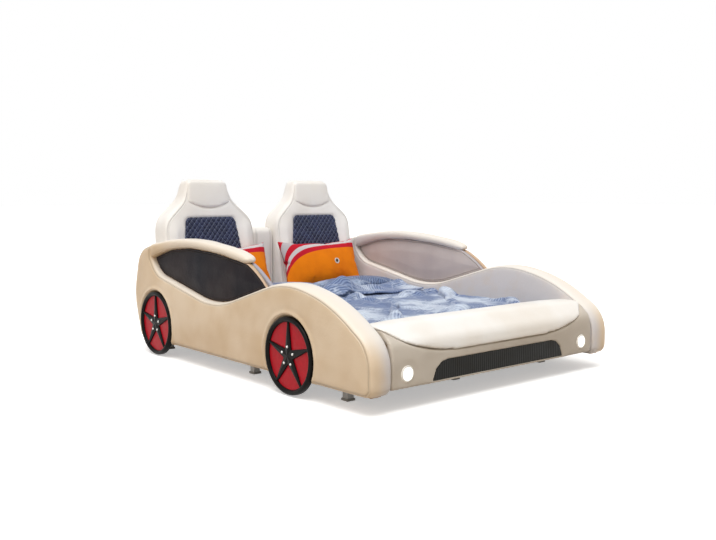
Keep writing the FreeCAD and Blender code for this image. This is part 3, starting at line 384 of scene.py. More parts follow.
def sheet_cotton(name, light, dark):
    """Plain woven cotton with slubs."""
    paint = Paint(name, Roughness=0.85, Sheen_Weight=0.2)
    slub = paint.noise(30.0, 5.0, 0.6)
    paint.colour(paint.mix(paint.ramp(slub, 0.35, 0.7), rgb(light), rgb(dark)))
    thread = paint.weave(paint.axes()["X"], SHEET_THREADS, paint.axes()["Y"], SHEET_THREADS)
    paint.bump((paint.noise(9.0, 5.0, 0.6, 0.6), 0.004), (thread, 0.0002))
    return paint.material


# painted light on the flanks and roof rolls: inner greys the inward faces as painted shade, rim
# pales the noted faces as a painted highlight, and sewn sets the painted shade at the seams
CREAM = leather("cream_leather_hide", "ebd6ba", "dabf9b", 0.36, inner="d8d3d2", rim="f6efe4",
                sewn=0.18)
WHITE = leather("white_leather_hide", "faf8f4", "efe8de", 0.33)
# painted shade: the bumper's hide is the white hide darkened, for the shade under the bonnet
BUMPER_SHADED = leather("bumper_painted_shade_hide", "cfc5b7", "b9ad9d", 0.36)
SEAT_WHITE = leather("seat_leather_hide", "fdfbf9", "f5f0e9", 0.36, sewn=0.06)
# the rim colours are painted light: a painted highlight along the dark skin's edges, painted shade
# along the inner skin's edges
DARK = leather("window_leather_hide", "231a1c", "12111a", 0.46, rim="cdb197", thread="3d332e",
               gloss=0.1)
INNER = leather("inner_window_hide", "cdc2be", "bbafae", 0.42, rim="a3a1ab")
QUILT = quilted_leather()
BLUE = blue_print("printed_cotton", "d2dcea", "7f91b4", "465a86")
PILLOW_BLUE = blue_print("pillow_cotton", "a3b3cd", "667ba0", "384a6f")
ORANGE = cushion_stripes()
TICKING = sheet_cotton("fitted_sheet", "aebdd4", "93a6c4")
BLACK = plastic("gloss_black", "0a0908", 0.34, gloss=0.1)
RED = plastic("gloss_red", "b80f22", 0.34, gloss=0.14)
SILVER = plastic("cap_silver", "d9d9d6", 0.25, metallic=0.5)
PALE = plastic("pale_plastic", "e9e7e1", 0.38)
RUBBER = plastic("lead_rubber_finish", "1b1b1c", 0.7)
FOOT = plastic("foot_rubber_finish", "a3a19c", 0.7)
BOARD = plastic("led_board_green", "e7e4c8", 0.45)
TIMBER = wood("sawn_timber", "cfae80", "ad8656", (0.7, 6.0, 9.0))
CORE_TIMBER = wood("core_timber", "c8a273", "a67c4d", (6.0, 0.7, 9.0))
PLY = wood("plywood", "dcc294", "c6a56f", (9.0, 0.9, 6.0))
SLATS = wood("birch_slat", "e0c79b", "c9a871", (0.9, 12.0, 9.0))
FRAME_STEEL = steel("powder_coat", "3a3c40", 0.45, 0.1)
LEG_STEEL = steel("pale_powder_coat", "c9c9c7", 0.5, 0.1)
ZINC = steel("zinc_plate", "b9bcc0", 0.32, 0.9)
GRILLE = grille_black()
LENS = lit_lens()

# CAD nodes that stay in the picture, under the builder's finishes
CARRIED = {
    CORE_TIMBER: "side_core_left side_core_right",
    PLY: "window_board_left window_board_right",
    TIMBER: "head_board foot_board bonnet_board front_board",
    FRAME_STEEL: "side_rail_left side_rail_right cross_rails centre_beam",
    SLATS: "slats", LEG_STEEL: "legs", FOOT: "feet", ZINC: "frame_bolts", RED: "wheel_discs",
    GRILLE: "grille_panel", PALE: "lamp_housings lead_clips", BOARD: "lamp_leds",
    RUBBER: "lamp_leads", BLACK: "battery_box rocker_switch",
}
for material, nodes in CARRIED.items():
    for node in nodes.split():
        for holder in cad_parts[node].material_slots:
            holder.material = material

# ------------ mesh helpers


def to_mesh(work, name):
    mesh = bpy.data.meshes.new(name)
    work.to_mesh(mesh)
    work.free()
    return mesh


def shade(mesh, smooth):
    mesh.polygons.foreach_set("use_smooth", [smooth] * len(mesh.polygons))


def new_piece(name, work, material, body="bed"):
    """An object made of a working mesh."""
    mesh = to_mesh(work, name)
    piece = bpy.data.objects.new(name, mesh)
    scene.collection.objects.link(piece)
    mesh.materials.clear()
    mesh.materials.append(material)
    shade(mesh, True)
    piece["body"] = body
    return piece


def work_in(piece):
    """Works the piece's modifiers into its mesh."""
    graph = bpy.context.evaluated_depsgraph_get()
    made = bpy.data.meshes.new_from_object(piece.evaluated_get(graph))
    piece.modifiers.clear()
    piece.data = made


def subdivided(piece, thickness=0.0):
    """Gives a sheet its thickness, if any, and one round of subdivision."""
    if thickness:
        thick = piece.modifiers.new("thick", "SOLIDIFY")
        thick.thickness = thickness
        thick.offset = 1
    soft = piece.modifiers.new("soft", "SUBSURF")
    soft.levels = soft.render_levels = 1
    work_in(piece)


def places(mesh):
    spots = np.empty(len(mesh.vertices) * 3)
    mesh.vertices.foreach_get("co", spots)
    return spots.reshape(-1, 3)


def facing(mesh):
    normals = np.empty(len(mesh.vertices) * 3)
    mesh.vertex_normals.foreach_get("vector", normals)
    return normals.reshape(-1, 3)


def move_to(mesh, spots):
    mesh.vertices.foreach_set("co", spots.ravel())
    mesh.update()


def note(mesh, name, values):
    """Keeps a number at each vertex for the materials."""
    layer = mesh.attributes.get(name) or mesh.attributes.new(name, "FLOAT", "POINT")
    layer.data.foreach_set("value", np.ascontiguousarray(values, dtype=np.float32))


def joined_mesh(*nodes):
    """A closed working mesh of CAD nodes, whose own meshes stay as they are."""
    work = bmesh.new()
    for node in nodes:
        work.from_mesh(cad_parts[node].data)
    bmesh.ops.remove_doubles(work, verts=work.verts, dist=1e-5)
    return work


def remade(name, nodes, voxel, material, body="bed"):
    """The form of one or more nodes as one even skin of small faces."""
    nodes = [nodes] if isinstance(nodes, str) else nodes
    piece = new_piece(name, joined_mesh(*nodes), material, body)
    skin = piece.modifiers.new("skin", "REMESH")
    skin.mode = "VOXEL"
    skin.voxel_size = voxel
    work_in(piece)
    shade(piece.data, True)
    note(piece.data, "seam", np.ones(len(piece.data.vertices)))
    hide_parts(*nodes)
    return piece


def relaxed(piece, rounds, weight=1.0):
    """Rounds the form off by averaging neighbours. Returns the new places and normals."""
    mesh = piece.data
    spots = places(mesh)
    edges = np.empty(len(mesh.edges) * 2, dtype=np.int64)
    mesh.edges.foreach_get("vertices", edges)
    first, second = edges.reshape(-1, 2).T
    count = len(spots)
    links = np.bincount(first, minlength=count) + np.bincount(second, minlength=count)
    links = np.maximum(links, 1)[:, None]
    weight = np.broadcast_to(np.asarray(weight, dtype=float), (count,))[:, None]
    for _ in range(rounds):
        total = np.stack([
            np.bincount(first, spots[second, axis], count)
            + np.bincount(second, spots[first, axis], count)
            for axis in range(3)
        ], axis=1)
        spots = spots + (total / links - spots) * 0.5 * weight
    move_to(mesh, spots)
    return places(mesh), facing(mesh)


def step_up(value, low, high):
    """Smooth rise from 0 to 1."""
    share = np.clip((value - low) / (high - low), 0, 1)
    return share * share * (3 - 2 * share)


def ridge(value, middle, wide, tall):
    """A smooth ridge that is highest where the value is at the middle."""
    return tall * np.exp(-((value - middle) / wide) ** 2)


def waves(spots, seed, count=9, longest=0.5, shortest=0.08):
    """Smooth seeded undulation between about -1 and 1."""
    random = np.random.default_rng(seed)
    total = np.zeros(len(spots))
    for _ in range(count):
        way = random.normal(size=3)
        way /= np.linalg.norm(way)
        length = random.uniform(shortest, longest)
        phase = random.uniform(0, 2 * math.pi)
        total += np.sin(spots @ way * (2 * math.pi / length) + phase) * length
    return total / np.abs(total).max()


def section(node, axis, level):
    """The longest closed loop where a plane cuts a CAD node, as ordered points."""
    work = joined_mesh(node)
    spot, normal = Vector(), Vector()
    spot[axis], normal[axis] = level, 1
    geometry = work.verts[:] + work.edges[:] + work.faces[:]
    done = bmesh.ops.bisect_plane(work, geom=geometry, plane_co=spot, plane_no=normal)
    edges = [item for item in done["geom_cut"] if isinstance(item, bmesh.types.BMEdge)]
    near = {}
    for edge in edges:
        for vertex in edge.verts:
            near.setdefault(vertex, []).append(edge)
    best, left = [], set(edges)
    while left:
        edge = left.pop()
        vertex = edge.verts[1]
        loop = [edge.verts[0].co.copy(), vertex.co.copy()]
        while True:
            ahead = [item for item in near[vertex] if item in left]
            if not ahead:
                break
            left.remove(ahead[0])
            vertex = ahead[0].other_vert(vertex)
            loop.append(vertex.co.copy())
        reach = sum((b - a).length for a, b in zip(loop, loop[1:]))
        if not best or reach > best[0]:
            best = (reach, loop)
    work.free()
    keep = [k for k in range(3) if k != axis]
    return np.array([[point[k] for k in keep] for point in best[1]])


CHUNK = 20000  # points that to_line compares at a time, to spare memory


def to_line(points, loop, closed=True):
    """Distance of 2-D points from a run of points, and how far along it the nearest spot is."""
    start, end = (loop, np.roll(loop, -1, axis=0)) if closed else (loop[:-1], loop[1:])
    way = end - start
    size = np.maximum(np.linalg.norm(way, axis=1), 1e-9)
    before = np.concatenate([[0], np.cumsum(size)[:-1]])
    away, along = np.empty(len(points)), np.empty(len(points))
    for at in range(0, len(points), CHUNK):
        chunk = points[at:at + CHUNK, None, :]
        share = np.clip(((chunk - start) * way).sum(-1) / size ** 2, 0, 1)
        gap = np.linalg.norm(chunk - (start + share[..., None] * way), axis=-1)
        best = gap.argmin(axis=1)
        rows = np.arange(len(best))
        away[at:at + CHUNK] = gap[rows, best]
        along[at:at + CHUNK] = before[best] + share[rows, best] * size[best]
    return away, along


def spanned(work, rows, flip=False):
    """Makes faces between rows of vertices."""
    for one, two in zip(rows, rows[1:]):
        for j in range(len(one) - 1):
            corners = (one[j], two[j], two[j + 1], one[j + 1])
            work.faces.new(corners[::-1] if flip else corners)


def about_x(centre, outward, radius, angle, height):
    """A point near an axis along X, by its radius, angle and height."""
    return centre + Vector((outward * height, radius * math.sin(angle), radius * math.cos(angle)))


def lathe(profile, turns, centre, outward):
    """A round form about an axis along X from (radius, height) points."""
    work = bmesh.new()
    rings = [[
        work.verts.new(about_x(centre, outward, radius, 2 * math.pi * step / turns, height))
        for step in range(turns)
    ] for radius, height in profile]
    for one, two in zip(rings, rings[1:]):
        for step in range(turns):
            after = (step + 1) % turns
            work.faces.new((one[step], one[after], two[after], two[step]))
    bmesh.ops.remove_doubles(work, verts=work.verts, dist=1e-6)
    bmesh.ops.recalc_face_normals(work, faces=work.faces)
    return work


# ------------ side panels

# Radius, width and height of the lip round each wheel arch, and of the groove outside it
ARCH_RINGS = ((0.211, 0.008, 0.0035), (0.23, 0.012, -0.0015))
ARCH_RADIUS, ARCH_OUT = 0.225, 0.84  # where the arch keeps the pad from relaxing
FLANK_SEAM = 0.017  # from the flank's outline to its sewn line
RAIL_REAR = 0.9155
RAIL_LENGTH = 1.043
# Heights of the CAD's roof roll, at shares of its length from the rear
RAIL_SHARES = np.array([0, 0.2, 0.417, 0.683, 0.911, 0.98, 1])
RAIL_TOP = 0.723 - np.array([0.044, 0.014, 0, 0.017, 0.048, 0.064, 0.074])
RAIL_LOW = 0.723 - np.array([0.125, 0.068, 0.048, 0.06, 0.091, 0.103, 0.096])


def side_panel(side, sign):
    """Padded flank: crowned faces, rolled edge, a sewn line inside it and a lip at each wheel."""
    node = f"side_pad_{side}"
    piece = remade(f"flank_{side}", node, 0.0075, CREAM)
    mesh = piece.data
    spots = places(mesh)
    reach = np.min([np.hypot(spots[:, 1] - y, spots[:, 2] - WHEEL_Z) for y in AXLES], axis=0)
    out = np.abs(spots[:, 0])
    near_wheel = (reach < ARCH_RADIUS) & (out > ARCH_OUT)
    outline = section(node, 0, sign * SLOT_OUT[0])
    away, _ = to_line(spots[:, 1:], outline)
    in_slot = (out > SLOT_OUT[0]) & (out < SLOT_OUT[1]) & (away > 0.03)
    spots, normals = relaxed(piece, 13, np.where(in_slot, 0.0, np.where(near_wheel, 0.12, 1.0)))
    away, along = to_line(spots[:, 1:], outline)
    out = np.abs(spots[:, 0]) - SIDE_OUT
    on_face = (np.abs(normals[:, 0]) > 0.6) & (np.abs(out) > 0.045)
    on_outside = on_face & (out > 0)
    crown = 0.0064 * step_up(away, 0.0, 0.14)
    rings = sum(ridge(reach, *ring) for ring in ARCH_RINGS)
    grow = crown + waves(spots, 11, 12, 0.8, 0.3) * 0.0009 + np.where(on_outside, rings, 0.0)
    grow *= np.where(on_outside, step_up(reach, 0.198, 0.21), 1.0)
    spots[:, 0] += np.where(on_face, np.sign(normals[:, 0]) * grow, 0.0)
    move_to(mesh, spots)
    edge = (np.abs(normals[:, 0]) > 0.35) & (np.abs(np.abs(spots[:, 0]) - SIDE_OUT) > 0.04)
    line = np.where(edge, away - FLANK_SEAM, 1.0)
    note(mesh, "seam", np.where((reach < 0.205) & on_outside, 1.0, line))
    note(mesh, "run", along)
    # painted highlight: faces turned up take the paler rim colour
    note(mesh, "rim", 0.75 * step_up(normals[:, 2], 0.2, 0.85))


def through(at, stations, values):
    """A smooth curve through the stations, read at the given places."""
    slopes = np.gradient(values, stations)
    index = np.clip(np.searchsorted(stations, at) - 1, 0, len(stations) - 2)
    span = stations[index + 1] - stations[index]
    share = np.clip((at - stations[index]) / span, 0, 1)
    near, far = values[index], values[index + 1]
    rise = far - near
    lean_in, lean_out = slopes[index] * span - rise, rise - slopes[index + 1] * span
    bend = lean_in * (1 - share) + lean_out * share
    return near + rise * share + share * (1 - share) * bend


def roof_rail(side):
    """Padded roll whose top and underside follow smooth curves."""
    piece = remade(f"roof_roll_{side}", f"roof_rail_{side}", 0.006, CREAM)
    mesh = piece.data
    spots = places(mesh)
    share = np.clip((RAIL_REAR - spots[:, 1]) / RAIL_LENGTH, 0, 1)
    straight = [np.interp(share, RAIL_SHARES, values) for values in (RAIL_TOP, RAIL_LOW)]
    curved = [through(share, RAIL_SHARES, values) for values in (RAIL_TOP, RAIL_LOW)]
    height = np.clip((spots[:, 2] - straight[1]) / (straight[0] - straight[1]), 0, 1)
    lift = [after - before for before, after in zip(straight, curved)]
    spots[:, 2] += lift[0] * height + lift[1] * (1 - height)
    move_to(mesh, spots)
    spots, normals = relaxed(piece, 20)
    swell = 0.004 + 0.0015 * waves(spots, 5, 8, 0.3, 0.1)
    spots += normals * swell[:, None] * step_up(spots[:, 1], -0.13, 0.0)[:, None]
    move_to(mesh, spots)
    spots, normals = places(mesh), facing(mesh)
    # painted highlight: faces turned up take the paler rim colour; elsewhere the roll takes six
    # tenths of it, fading out over its rear end
    top = 0.75 * step_up(normals[:, 2], 0.2, 0.85)
    note(mesh, "rim", np.maximum(top, 0.6 * (1 - step_up(spots[:, 1], 0.45, 0.85))))


def window_skin(side, face, material, sign):
    """Upholstered infill, slightly domed, with a sewn line round its front face. Its edges and back
    take the rim colour: a painted highlight on the dark outer skin, painted shade on the pale inner
    one.
    """
    node = f"window_{face}_{side}"
    piece = remade(f"window_{face}_skin_{side}", node, 0.005, material)
    mesh = piece.data
    spots, normals = relaxed(piece, 9)
    low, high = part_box(node)
    middle = (low[0] + high[0]) / 2
    outline = section(node, 0, middle)
    away, along = to_line(spots[:, 1:], outline)
    outward = np.sign(middle - sign * SIDE_OUT)
    front = normals[:, 0] * outward > 0.6
    dome = 0.009 * step_up(away, 0.0, 0.09) + 0.0012 * waves(spots, 3, 8, 0.4, 0.12)
    spots[:, 0] += np.where(front, outward * dome, 0.0)
    move_to(mesh, spots)
    note(mesh, "seam", np.where(front, away - 0.012, 1.0))
    # painted light along the skin's edges and back, in the material's rim colour
    note(mesh, "rim", step_up(-normals[:, 0] * outward, -0.75, -0.45))
    note(mesh, "run", along)


for side, sign in SIDES:
    side_panel(side, sign)
    roof_rail(side)
    window_skin(side, "outer", DARK, sign)
    window_skin(side, "inner", INNER, sign)

# ------------ wheels

NOTCH_RADIUS = 0.04  # where two spokes meet
SPOKE_TIP = 0.0034  # half a spoke's width at the rim
FACE_DROP, EDGE_DROP = 0.0035, 0.006  # of a spoke's side and its edge below its ridge
CAP_SEAT = 0.0272  # height of the nut covers above the recess


def star_spokes(centre, outward, base, top):
    """Five tapering spokes, each folded to a ridge along its middle."""
    work = bmesh.new()

    def spot(radius, turn, height):
        return work.verts.new(about_x(centre, outward, radius, turn, height))

    hub_face = spot(0, 0, top + 0.001)
    hub_back = spot(0, 0, base)
    wide = RIM_INNER + 0.004
    lean = SPOKE_TIP / wide
    for index in range(5):
        turn = math.radians(STAR_ANGLE * index)
        for side in (-1, 1):
            notch = turn + side * math.radians(STAR_ANGLE / 2)
            notch_face = spot(NOTCH_RADIUS - 0.0015, notch, top - FACE_DROP)
            notch_edge = spot(NOTCH_RADIUS, notch, top - EDGE_DROP)
            notch_back = spot(NOTCH_RADIUS, notch, base)
            tip_face = spot(wide, turn + side * lean, top - FACE_DROP)
            tip_edge = spot(wide, turn + side * (lean + 0.009), top - EDGE_DROP)
            tip_back = spot(wide, turn + side * (lean + 0.009), base)
            crest = spot(wide, turn, top - 0.001)
            waist = spot(0.05, turn, top + 0.0005)
            faces = (
                (hub_face, notch_face, waist), (waist, notch_face, tip_face, crest),
                (notch_face, notch_edge, tip_edge, tip_face),
                (notch_edge, notch_back, tip_back, tip_edge), (notch_back, hub_back, tip_back),
            )
            for corners in faces:
                work.faces.new(corners if side > 0 else corners[::-1])
    bmesh.ops.remove_doubles(work, verts=work.verts, dist=1e-6)
    bmesh.ops.recalc_face_normals(work, faces=work.faces)
    return work


# Profiles for lathe(), as (radius, height) points
TYRE = [(RIM_INNER + past, height) for past, height in (
    (-0.001, 0.0), (-0.001, 0.018), (0.0, 0.0225), (0.0035, 0.0262), (0.0052, 0.0268),
    (0.0065, 0.0302), (0.0095, 0.0322), (0.0145, 0.0325), (0.0195, 0.0305),
)] + [(RIM_RADIUS + past, height) for past, height in (
    (-0.003, 0.0268), (-0.0008, 0.021), (0.0, 0.014), (0.0, 0.0),
)]
CAP = (
    (0.0, 0.0058), (0.0028, 0.0055), (0.005, 0.0044), (0.0066, 0.0026), (0.007, 0.0008),
    (0.007, -0.001),
)


def wheel(name, sign, axle):
    centre = Vector((sign * WHEEL_OUT, axle, WHEEL_Z))
    ring = new_piece(f"tyre_{name}", lathe(TYRE, 128, centre, sign), BLACK)
    star = new_piece(f"spokes_{name}", star_spokes(centre, sign, 0.0155, 0.0275), BLACK)
    shade(star.data, False)
    edge = star.modifiers.new("edge", "BEVEL")
    edge.width = 0.0009
    edge.segments = 2
    work_in(star)
    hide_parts("wheel_rims")
    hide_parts("wheel_rims")
    caps = bmesh.new()
    for index in range(5):
        seat_of_cap = about_x(centre, sign, CAP_RADIUS, math.radians(STAR_ANGLE * index), CAP_SEAT)
        one = to_mesh(lathe(CAP, 20, seat_of_cap, sign), "cap")
        caps.from_mesh(one)
        bpy.data.meshes.remove(one)
    cap_piece = new_piece(f"caps_{name}", caps, SILVER)
    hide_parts("lug_caps")


for end, axle in zip(("front", "rear"), AXLES):
    wheel(f"{end}_right", -1, axle)
    wheel(f"{end}_left", 1, axle)

# ------------ seats

BOLSTER = (0.262, 0.034, 0.012)  # distance from the seat's middle, width and height
HEAD_SPREAD, PAD_SPREAD = 0.06, 0.21  # by how much the head and its pad are wider than in CAD
DIAMOND, DIAMOND_SLOPE = 0.036, 0.85  # width of the quilting's diamonds, and their rise


def on_seat(spots, centre):
    """Coordinates in the leaning seat front: across, up the slope, and out of it."""
    rise = spots[:, 2] - SEAT_FOOT[2]
    back = spots[:, 1] - SEAT_FOOT[1]
    up = rise * math.cos(SEAT_LEAN) + back * math.sin(SEAT_LEAN)
    out = rise * math.sin(SEAT_LEAN) - back * math.cos(SEAT_LEAN)
    return spots[:, 0] - centre, up, out


SEAT_OUT = np.array([0, -math.cos(SEAT_LEAN), math.sin(SEAT_LEAN)])


def seat(side, sign):
    """Seat back with raised bolsters and a sewn line along its edge."""
    node = f"seat_pad_{side}"
    piece = remade(f"seat_hide_{side}", (node, f"seat_board_{side}"), 0.0065, SEAT_WHITE)
    mesh = piece.data
    spots, normals = relaxed(piece, 16)
    across, up, out = on_seat(spots, sign * SEAT_X)
    front = (normals @ SEAT_OUT > 0.55) & (out > -0.02)
    outline = section(node, 1, SEAT_CUT)
    away, along = to_line(spots[:, [0, 2]], outline)
    wing = ridge(np.abs(across), *BOLSTER) * step_up(up, 0.02, 0.1)
    wing *= 1 - step_up(up, 0.5, 0.62)
    crown = 0.006 * step_up(away, 0.0, 0.08)
    grow = wing + crown + 0.0014 * waves(spots, 21, 10, 0.35, 0.1)
    spots += np.where(front, grow, 0.0)[:, None] * SEAT_OUT
    spots[:, 0] += HEAD_SPREAD * across * step_up(up, 0.5, 0.72)
    move_to(mesh, spots)
    side_edge = (normals @ SEAT_OUT > 0.3) & (out > -0.03)
    behind = normals[:, 1] > 0.5
    line = np.where(side_edge, away - 0.015, np.where(behind, away - 0.026, 1.0))
    note(mesh, "seam", line)
    note(mesh, "run", along)


def quilts():
    """The seats' quilted inserts: diamonds that puff up between sewn lines."""
    piece = remade("quilted_inserts", "seat_quilts", 0.0032, QUILT)
    mesh = piece.data
    spots, normals = relaxed(piece, 6)
    across, up, _ = on_seat(spots, np.sign(spots[:, 0]) * SEAT_X)
    both = [(across + way * up * DIAMOND_SLOPE) / DIAMOND for way in (1, -1)]
    one, two = [np.abs(steps - np.round(steps)) for steps in both]
    line = np.minimum(one, two) * (DIAMOND / math.hypot(1, DIAMOND_SLOPE))
    front = normals @ SEAT_OUT > 0.5
    puff = 0.0075 * (np.sin(np.pi * one) * np.sin(np.pi * two)) ** 0.6 - 0.001
    spots += np.where(front, puff, 0.0)[:, None] * SEAT_OUT
    move_to(mesh, spots)
    note(mesh, "quilt", np.where(front, line, 1.0))


def headrests():
    """Domed pads on the seats' heads."""
    piece = remade("headrest_hides", "headrest_pads", 0.0045, SEAT_WHITE)
    mesh = piece.data
    spots, normals = relaxed(piece, 12)
    across, up, _ = on_seat(spots, np.sign(spots[:, 0]) * SEAT_X)
    front = normals @ SEAT_OUT > 0.4
    tall = np.clip((up - 0.655) / 0.19, 0, 1)
    dome = 0.012 * np.clip(1 - (across / 0.125) ** 2, 0, 1) ** 0.8
    dome *= np.sin(np.pi * tall) ** 0.6
    spots += np.where(front, dome, 0.0)[:, None] * SEAT_OUT
    spots[:, 0] += across * PAD_SPREAD
    spots[:, 2] += 0.008 * step_up(up, 0.72, 0.85)
    move_to(mesh, spots)


for side, sign in SIDES:
    seat(side, sign)
quilts()
headrests()

console = remade("console_hide", "console_pad", 0.006, SEAT_WHITE)
spots, normals = relaxed(console, 22)
swell = 0.006 * step_up(spots[:, 2], 0.24, 0.4) + 0.001 * waves(spots, 8, 8, 0.3, 0.1)
spots += normals * swell[:, None] * (normals[:, 1:2] < 0.5)
move_to(console.data, spots)
note(console.data, "seam", np.where(normals[:, 1] < -0.5, np.abs(spots[:, 0]) - 0.056, 1.0))
note(console.data, "run", spots[:, 2])

# ------------ bonnet, bumper and lamps

SLOT_HALF, SLOT_TOP = 0.505, 0.218  # of the grille's opening in the bumper
NOSE_HALF = 0.755


def nose(name, node, material, seed, crown_top):
    """Bonnet or bumper, swollen between its ends and still round the grille and the lamps."""
    piece = remade(name, node, 0.0055, material)
    mesh = piece.data
    spots = places(mesh)
    hole = np.min([np.hypot(spots[:, 0] - x, spots[:, 2] - LAMP_Z) for x in (-LAMP_X, LAMP_X)],
                  axis=0)
    at_slot = 1 - step_up(np.abs(spots[:, 0]), SLOT_HALF, SLOT_HALF + 0.075)
    at_slot *= 1 - step_up(spots[:, 2], SLOT_TOP, SLOT_TOP + 0.052)
    at_lamp = 1 - step_up(hole, 0.045, 0.075)
    still = 1 - 0.92 * np.maximum(at_slot, at_lamp)
    spots, normals = relaxed(piece, 16, still)
    width = 1 - (np.abs(spots[:, 0]) / NOSE_HALF) ** 6
    shown = (normals[:, 1] < 0.3) & (normals[:, 2] > -0.5)
    soft = crown_top * np.clip(width, 0, 1) + 0.0016 * waves(spots, seed, 12, 0.7, 0.15)
    soft *= np.where(np.abs(normals[:, 0]) > 0.6, 0, 1)
    soft *= np.clip((still - 0.08) / 0.92, 0, 1)
    spots += np.where(shown, soft, 0.0)[:, None] * normals
    move_to(mesh, spots)
    note(mesh, "run", spots[:, 0])


nose("bonnet_hide", "bonnet_pad", WHITE, 31, 0.009)
# the bumper wears the darkened hide, painted shade
nose("bumper_hide", "bumper_pad", BUMPER_SHADED, 37, 0.002)

LENS_PROFILE = (
    (0.0, 0.0045), (0.008, 0.0043), (0.016, 0.0037), (0.024, 0.0026), (0.031, 0.0012),
    (0.0355, -0.0004), (0.0385, -0.0012), (0.039, -0.0022), (0.0385, -0.0032), (0.036, -0.0035),
    (0.0, -0.0035),
)


def lens(name, x):
    """Domed diffuser on the lamp's tube, turned about its own axis."""
    work = lathe(LENS_PROFILE, 64, Vector(), 1)
    turn = Matrix.Translation((x, LENS_Y, LAMP_Z)) @ Matrix.Rotation(math.radians(-90), 4, "Z")
    bmesh.ops.transform(work, matrix=turn, verts=work.verts)
    piece = new_piece(name, work, LENS)
    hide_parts("lamp_lenses")


lens("lens_right", -LAMP_X)
lens("lens_left", LAMP_X)

# ------------ bedding


def settle(piece, frames, **settings):
    """Runs the cloth on a piece and keeps its last form. A__b sets b of the settings' A."""
    cloth = piece.modifiers.new("cloth", "CLOTH")
    for key, value in settings.items():
        target = cloth.settings
        *path, last = key.split("__")
        for step in path:
            target = getattr(target, step)
        setattr(target, last, value)
    cloth.point_cache.frame_start = 1
    cloth.point_cache.frame_end = frames
    cloth.collision_settings.use_collision = True
    cloth.collision_settings.distance_min = 0.004
    for step in range(1, frames + 1):
        scene.frame_set(step)
    work_in(piece)
    scene.frame_set(1)


CLOTH_STEP = 0.0125  # size of the cloth's squares in a cushion
CLOTH_SPARE = 1.06  # how much larger the cloth is cut than the finished cushion


def sewn_cushion(name, long, wide, thick, material, seed):
    """Two sheets of cloth sewn round their edges and blown up from inside."""
    columns, rows = round(long / CLOTH_STEP), round(wide / CLOTH_STEP)
    work = bmesh.new()
    random = np.random.default_rng(seed)
    grids = []
    for face in (1, -1):
        grid = []
        for i in range(columns + 1):
            grid.append([])
            for j in range(rows + 1):
                edge = i in (0, columns) or j in (0, rows)
                if edge and grids:
                    grid[i].append(grids[0][i][j])
                    continue
                u, v = 2 * i / columns - 1, 2 * j / rows - 1
                puff = 0.006 + 0.03 * ((1 - u * u) * (1 - v * v))
                lift = 0 if edge else face * (puff + random.uniform(-0.001, 0.001))
                spot = (u * long / 2 * CLOTH_SPARE, v * wide / 2 * CLOTH_SPARE, lift)
                grid[i].append(work.verts.new(spot))
        grids.append(grid)
        spanned(work, grid, face < 0)
    piece = new_piece(name, work, material, "bedding")
    spots = places(piece.data)
    note(piece.data, "along", spots[:, 0] / (long / 2 * CLOTH_SPARE))
    note(piece.data, "across", spots[:, 1] / (wide / 2 * CLOTH_SPARE))
    settle(
        piece, 22, quality=6, mass=0.25, tension_stiffness=12, compression_stiffness=12,
        bending_stiffness=0.4, use_pressure=True, uniform_pressure_force=7,
        effector_weights__gravity=0,
    )
    subdivided(piece)
    spots = places(piece.data)
    low, high = spots.min(0), spots.max(0)
    spots = (spots - (high + low) / 2) / (high - low) * np.array([long, wide, thick])
    move_to(piece.data, spots)
    return piece


def laid_at(piece, node, degrees, axis):
    """Lays a piece at a CAD node's middle, turned about one axis, and returns the matrix."""
    low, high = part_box(node)
    turn = Matrix.Rotation(math.radians(degrees), 4, axis)
    matrix = Matrix.Translation((low + high) / 2) @ turn
    piece.data.transform(matrix)
    piece.data.update()
    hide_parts(node)
    return matrix


def button(name, matrix):
    """Plain dark button with a raised pale rim."""
    rim = (
        (0.0, 0.0024), (0.006, 0.0028), (0.0115, 0.0024), (0.0125, 0.004),
        (0.0165, 0.0052), (0.0205, 0.0036), (0.0215, 0.0), (0.0, -0.002),
    )
    piece = new_piece(name, lathe(rim, 40, Vector(), 1), BUTTON, "bedding")
    spots = places(piece.data)
    note(piece.data, "ring", np.hypot(spots[:, 1], spots[:, 2]))
    piece.data.transform(matrix @ Matrix.Rotation(math.radians(-90), 4, "Y"))


def button_finish():
    """Dark shell inside a pale worn rim."""
    paint = Paint("button_finish", Roughness=0.3)
    worn = paint.noise(60.0, 3.0)
    rim = paint.mix(paint.ramp(worn, 0.4, 0.7), rgb("ded8cf"), rgb("c2b7ab"))
    paint.colour(paint.mix(paint.ramp(paint.data("ring"), 0.0116, 0.0124), rgb("43332e"), rim))
    paint.bump((worn, 0.0002))
    return paint.material


BUTTON = button_finish()

for side, seed in (("right", 51), ("left", 53)):
    cushion = sewn_cushion(f"cushion_{side}", 0.66, 0.35, 0.125, ORANGE, seed)
    stand = laid_at(cushion, f"pillow_orange_{side}", 70, "X")
    button(f"cushion_button_{side}", stand @ Matrix.Translation((0.1, 0.0, 0.0585)))

for side, yaw, seed in (("right", -12, 61), ("left", 8, 67)):
    pillow = sewn_cushion(f"bed_pillow_{side}", 0.56, 0.33, 0.095, PILLOW_BLUE, seed)
    laid_at(pillow, f"pillow_blue_{side}", yaw, "Z")

mattress = remade("mattress_cover", "mattress", 0.012, TICKING, "bedding")
spots, normals = relaxed(mattress, 8)
uneven = 0.0015 * waves(spots, 71, 14, 0.5, 0.1) - 0.0015
spots[:, 2] += np.where(normals[:, 2] > 0.5, uneven, 0.0)
move_to(mattress.data, spots)


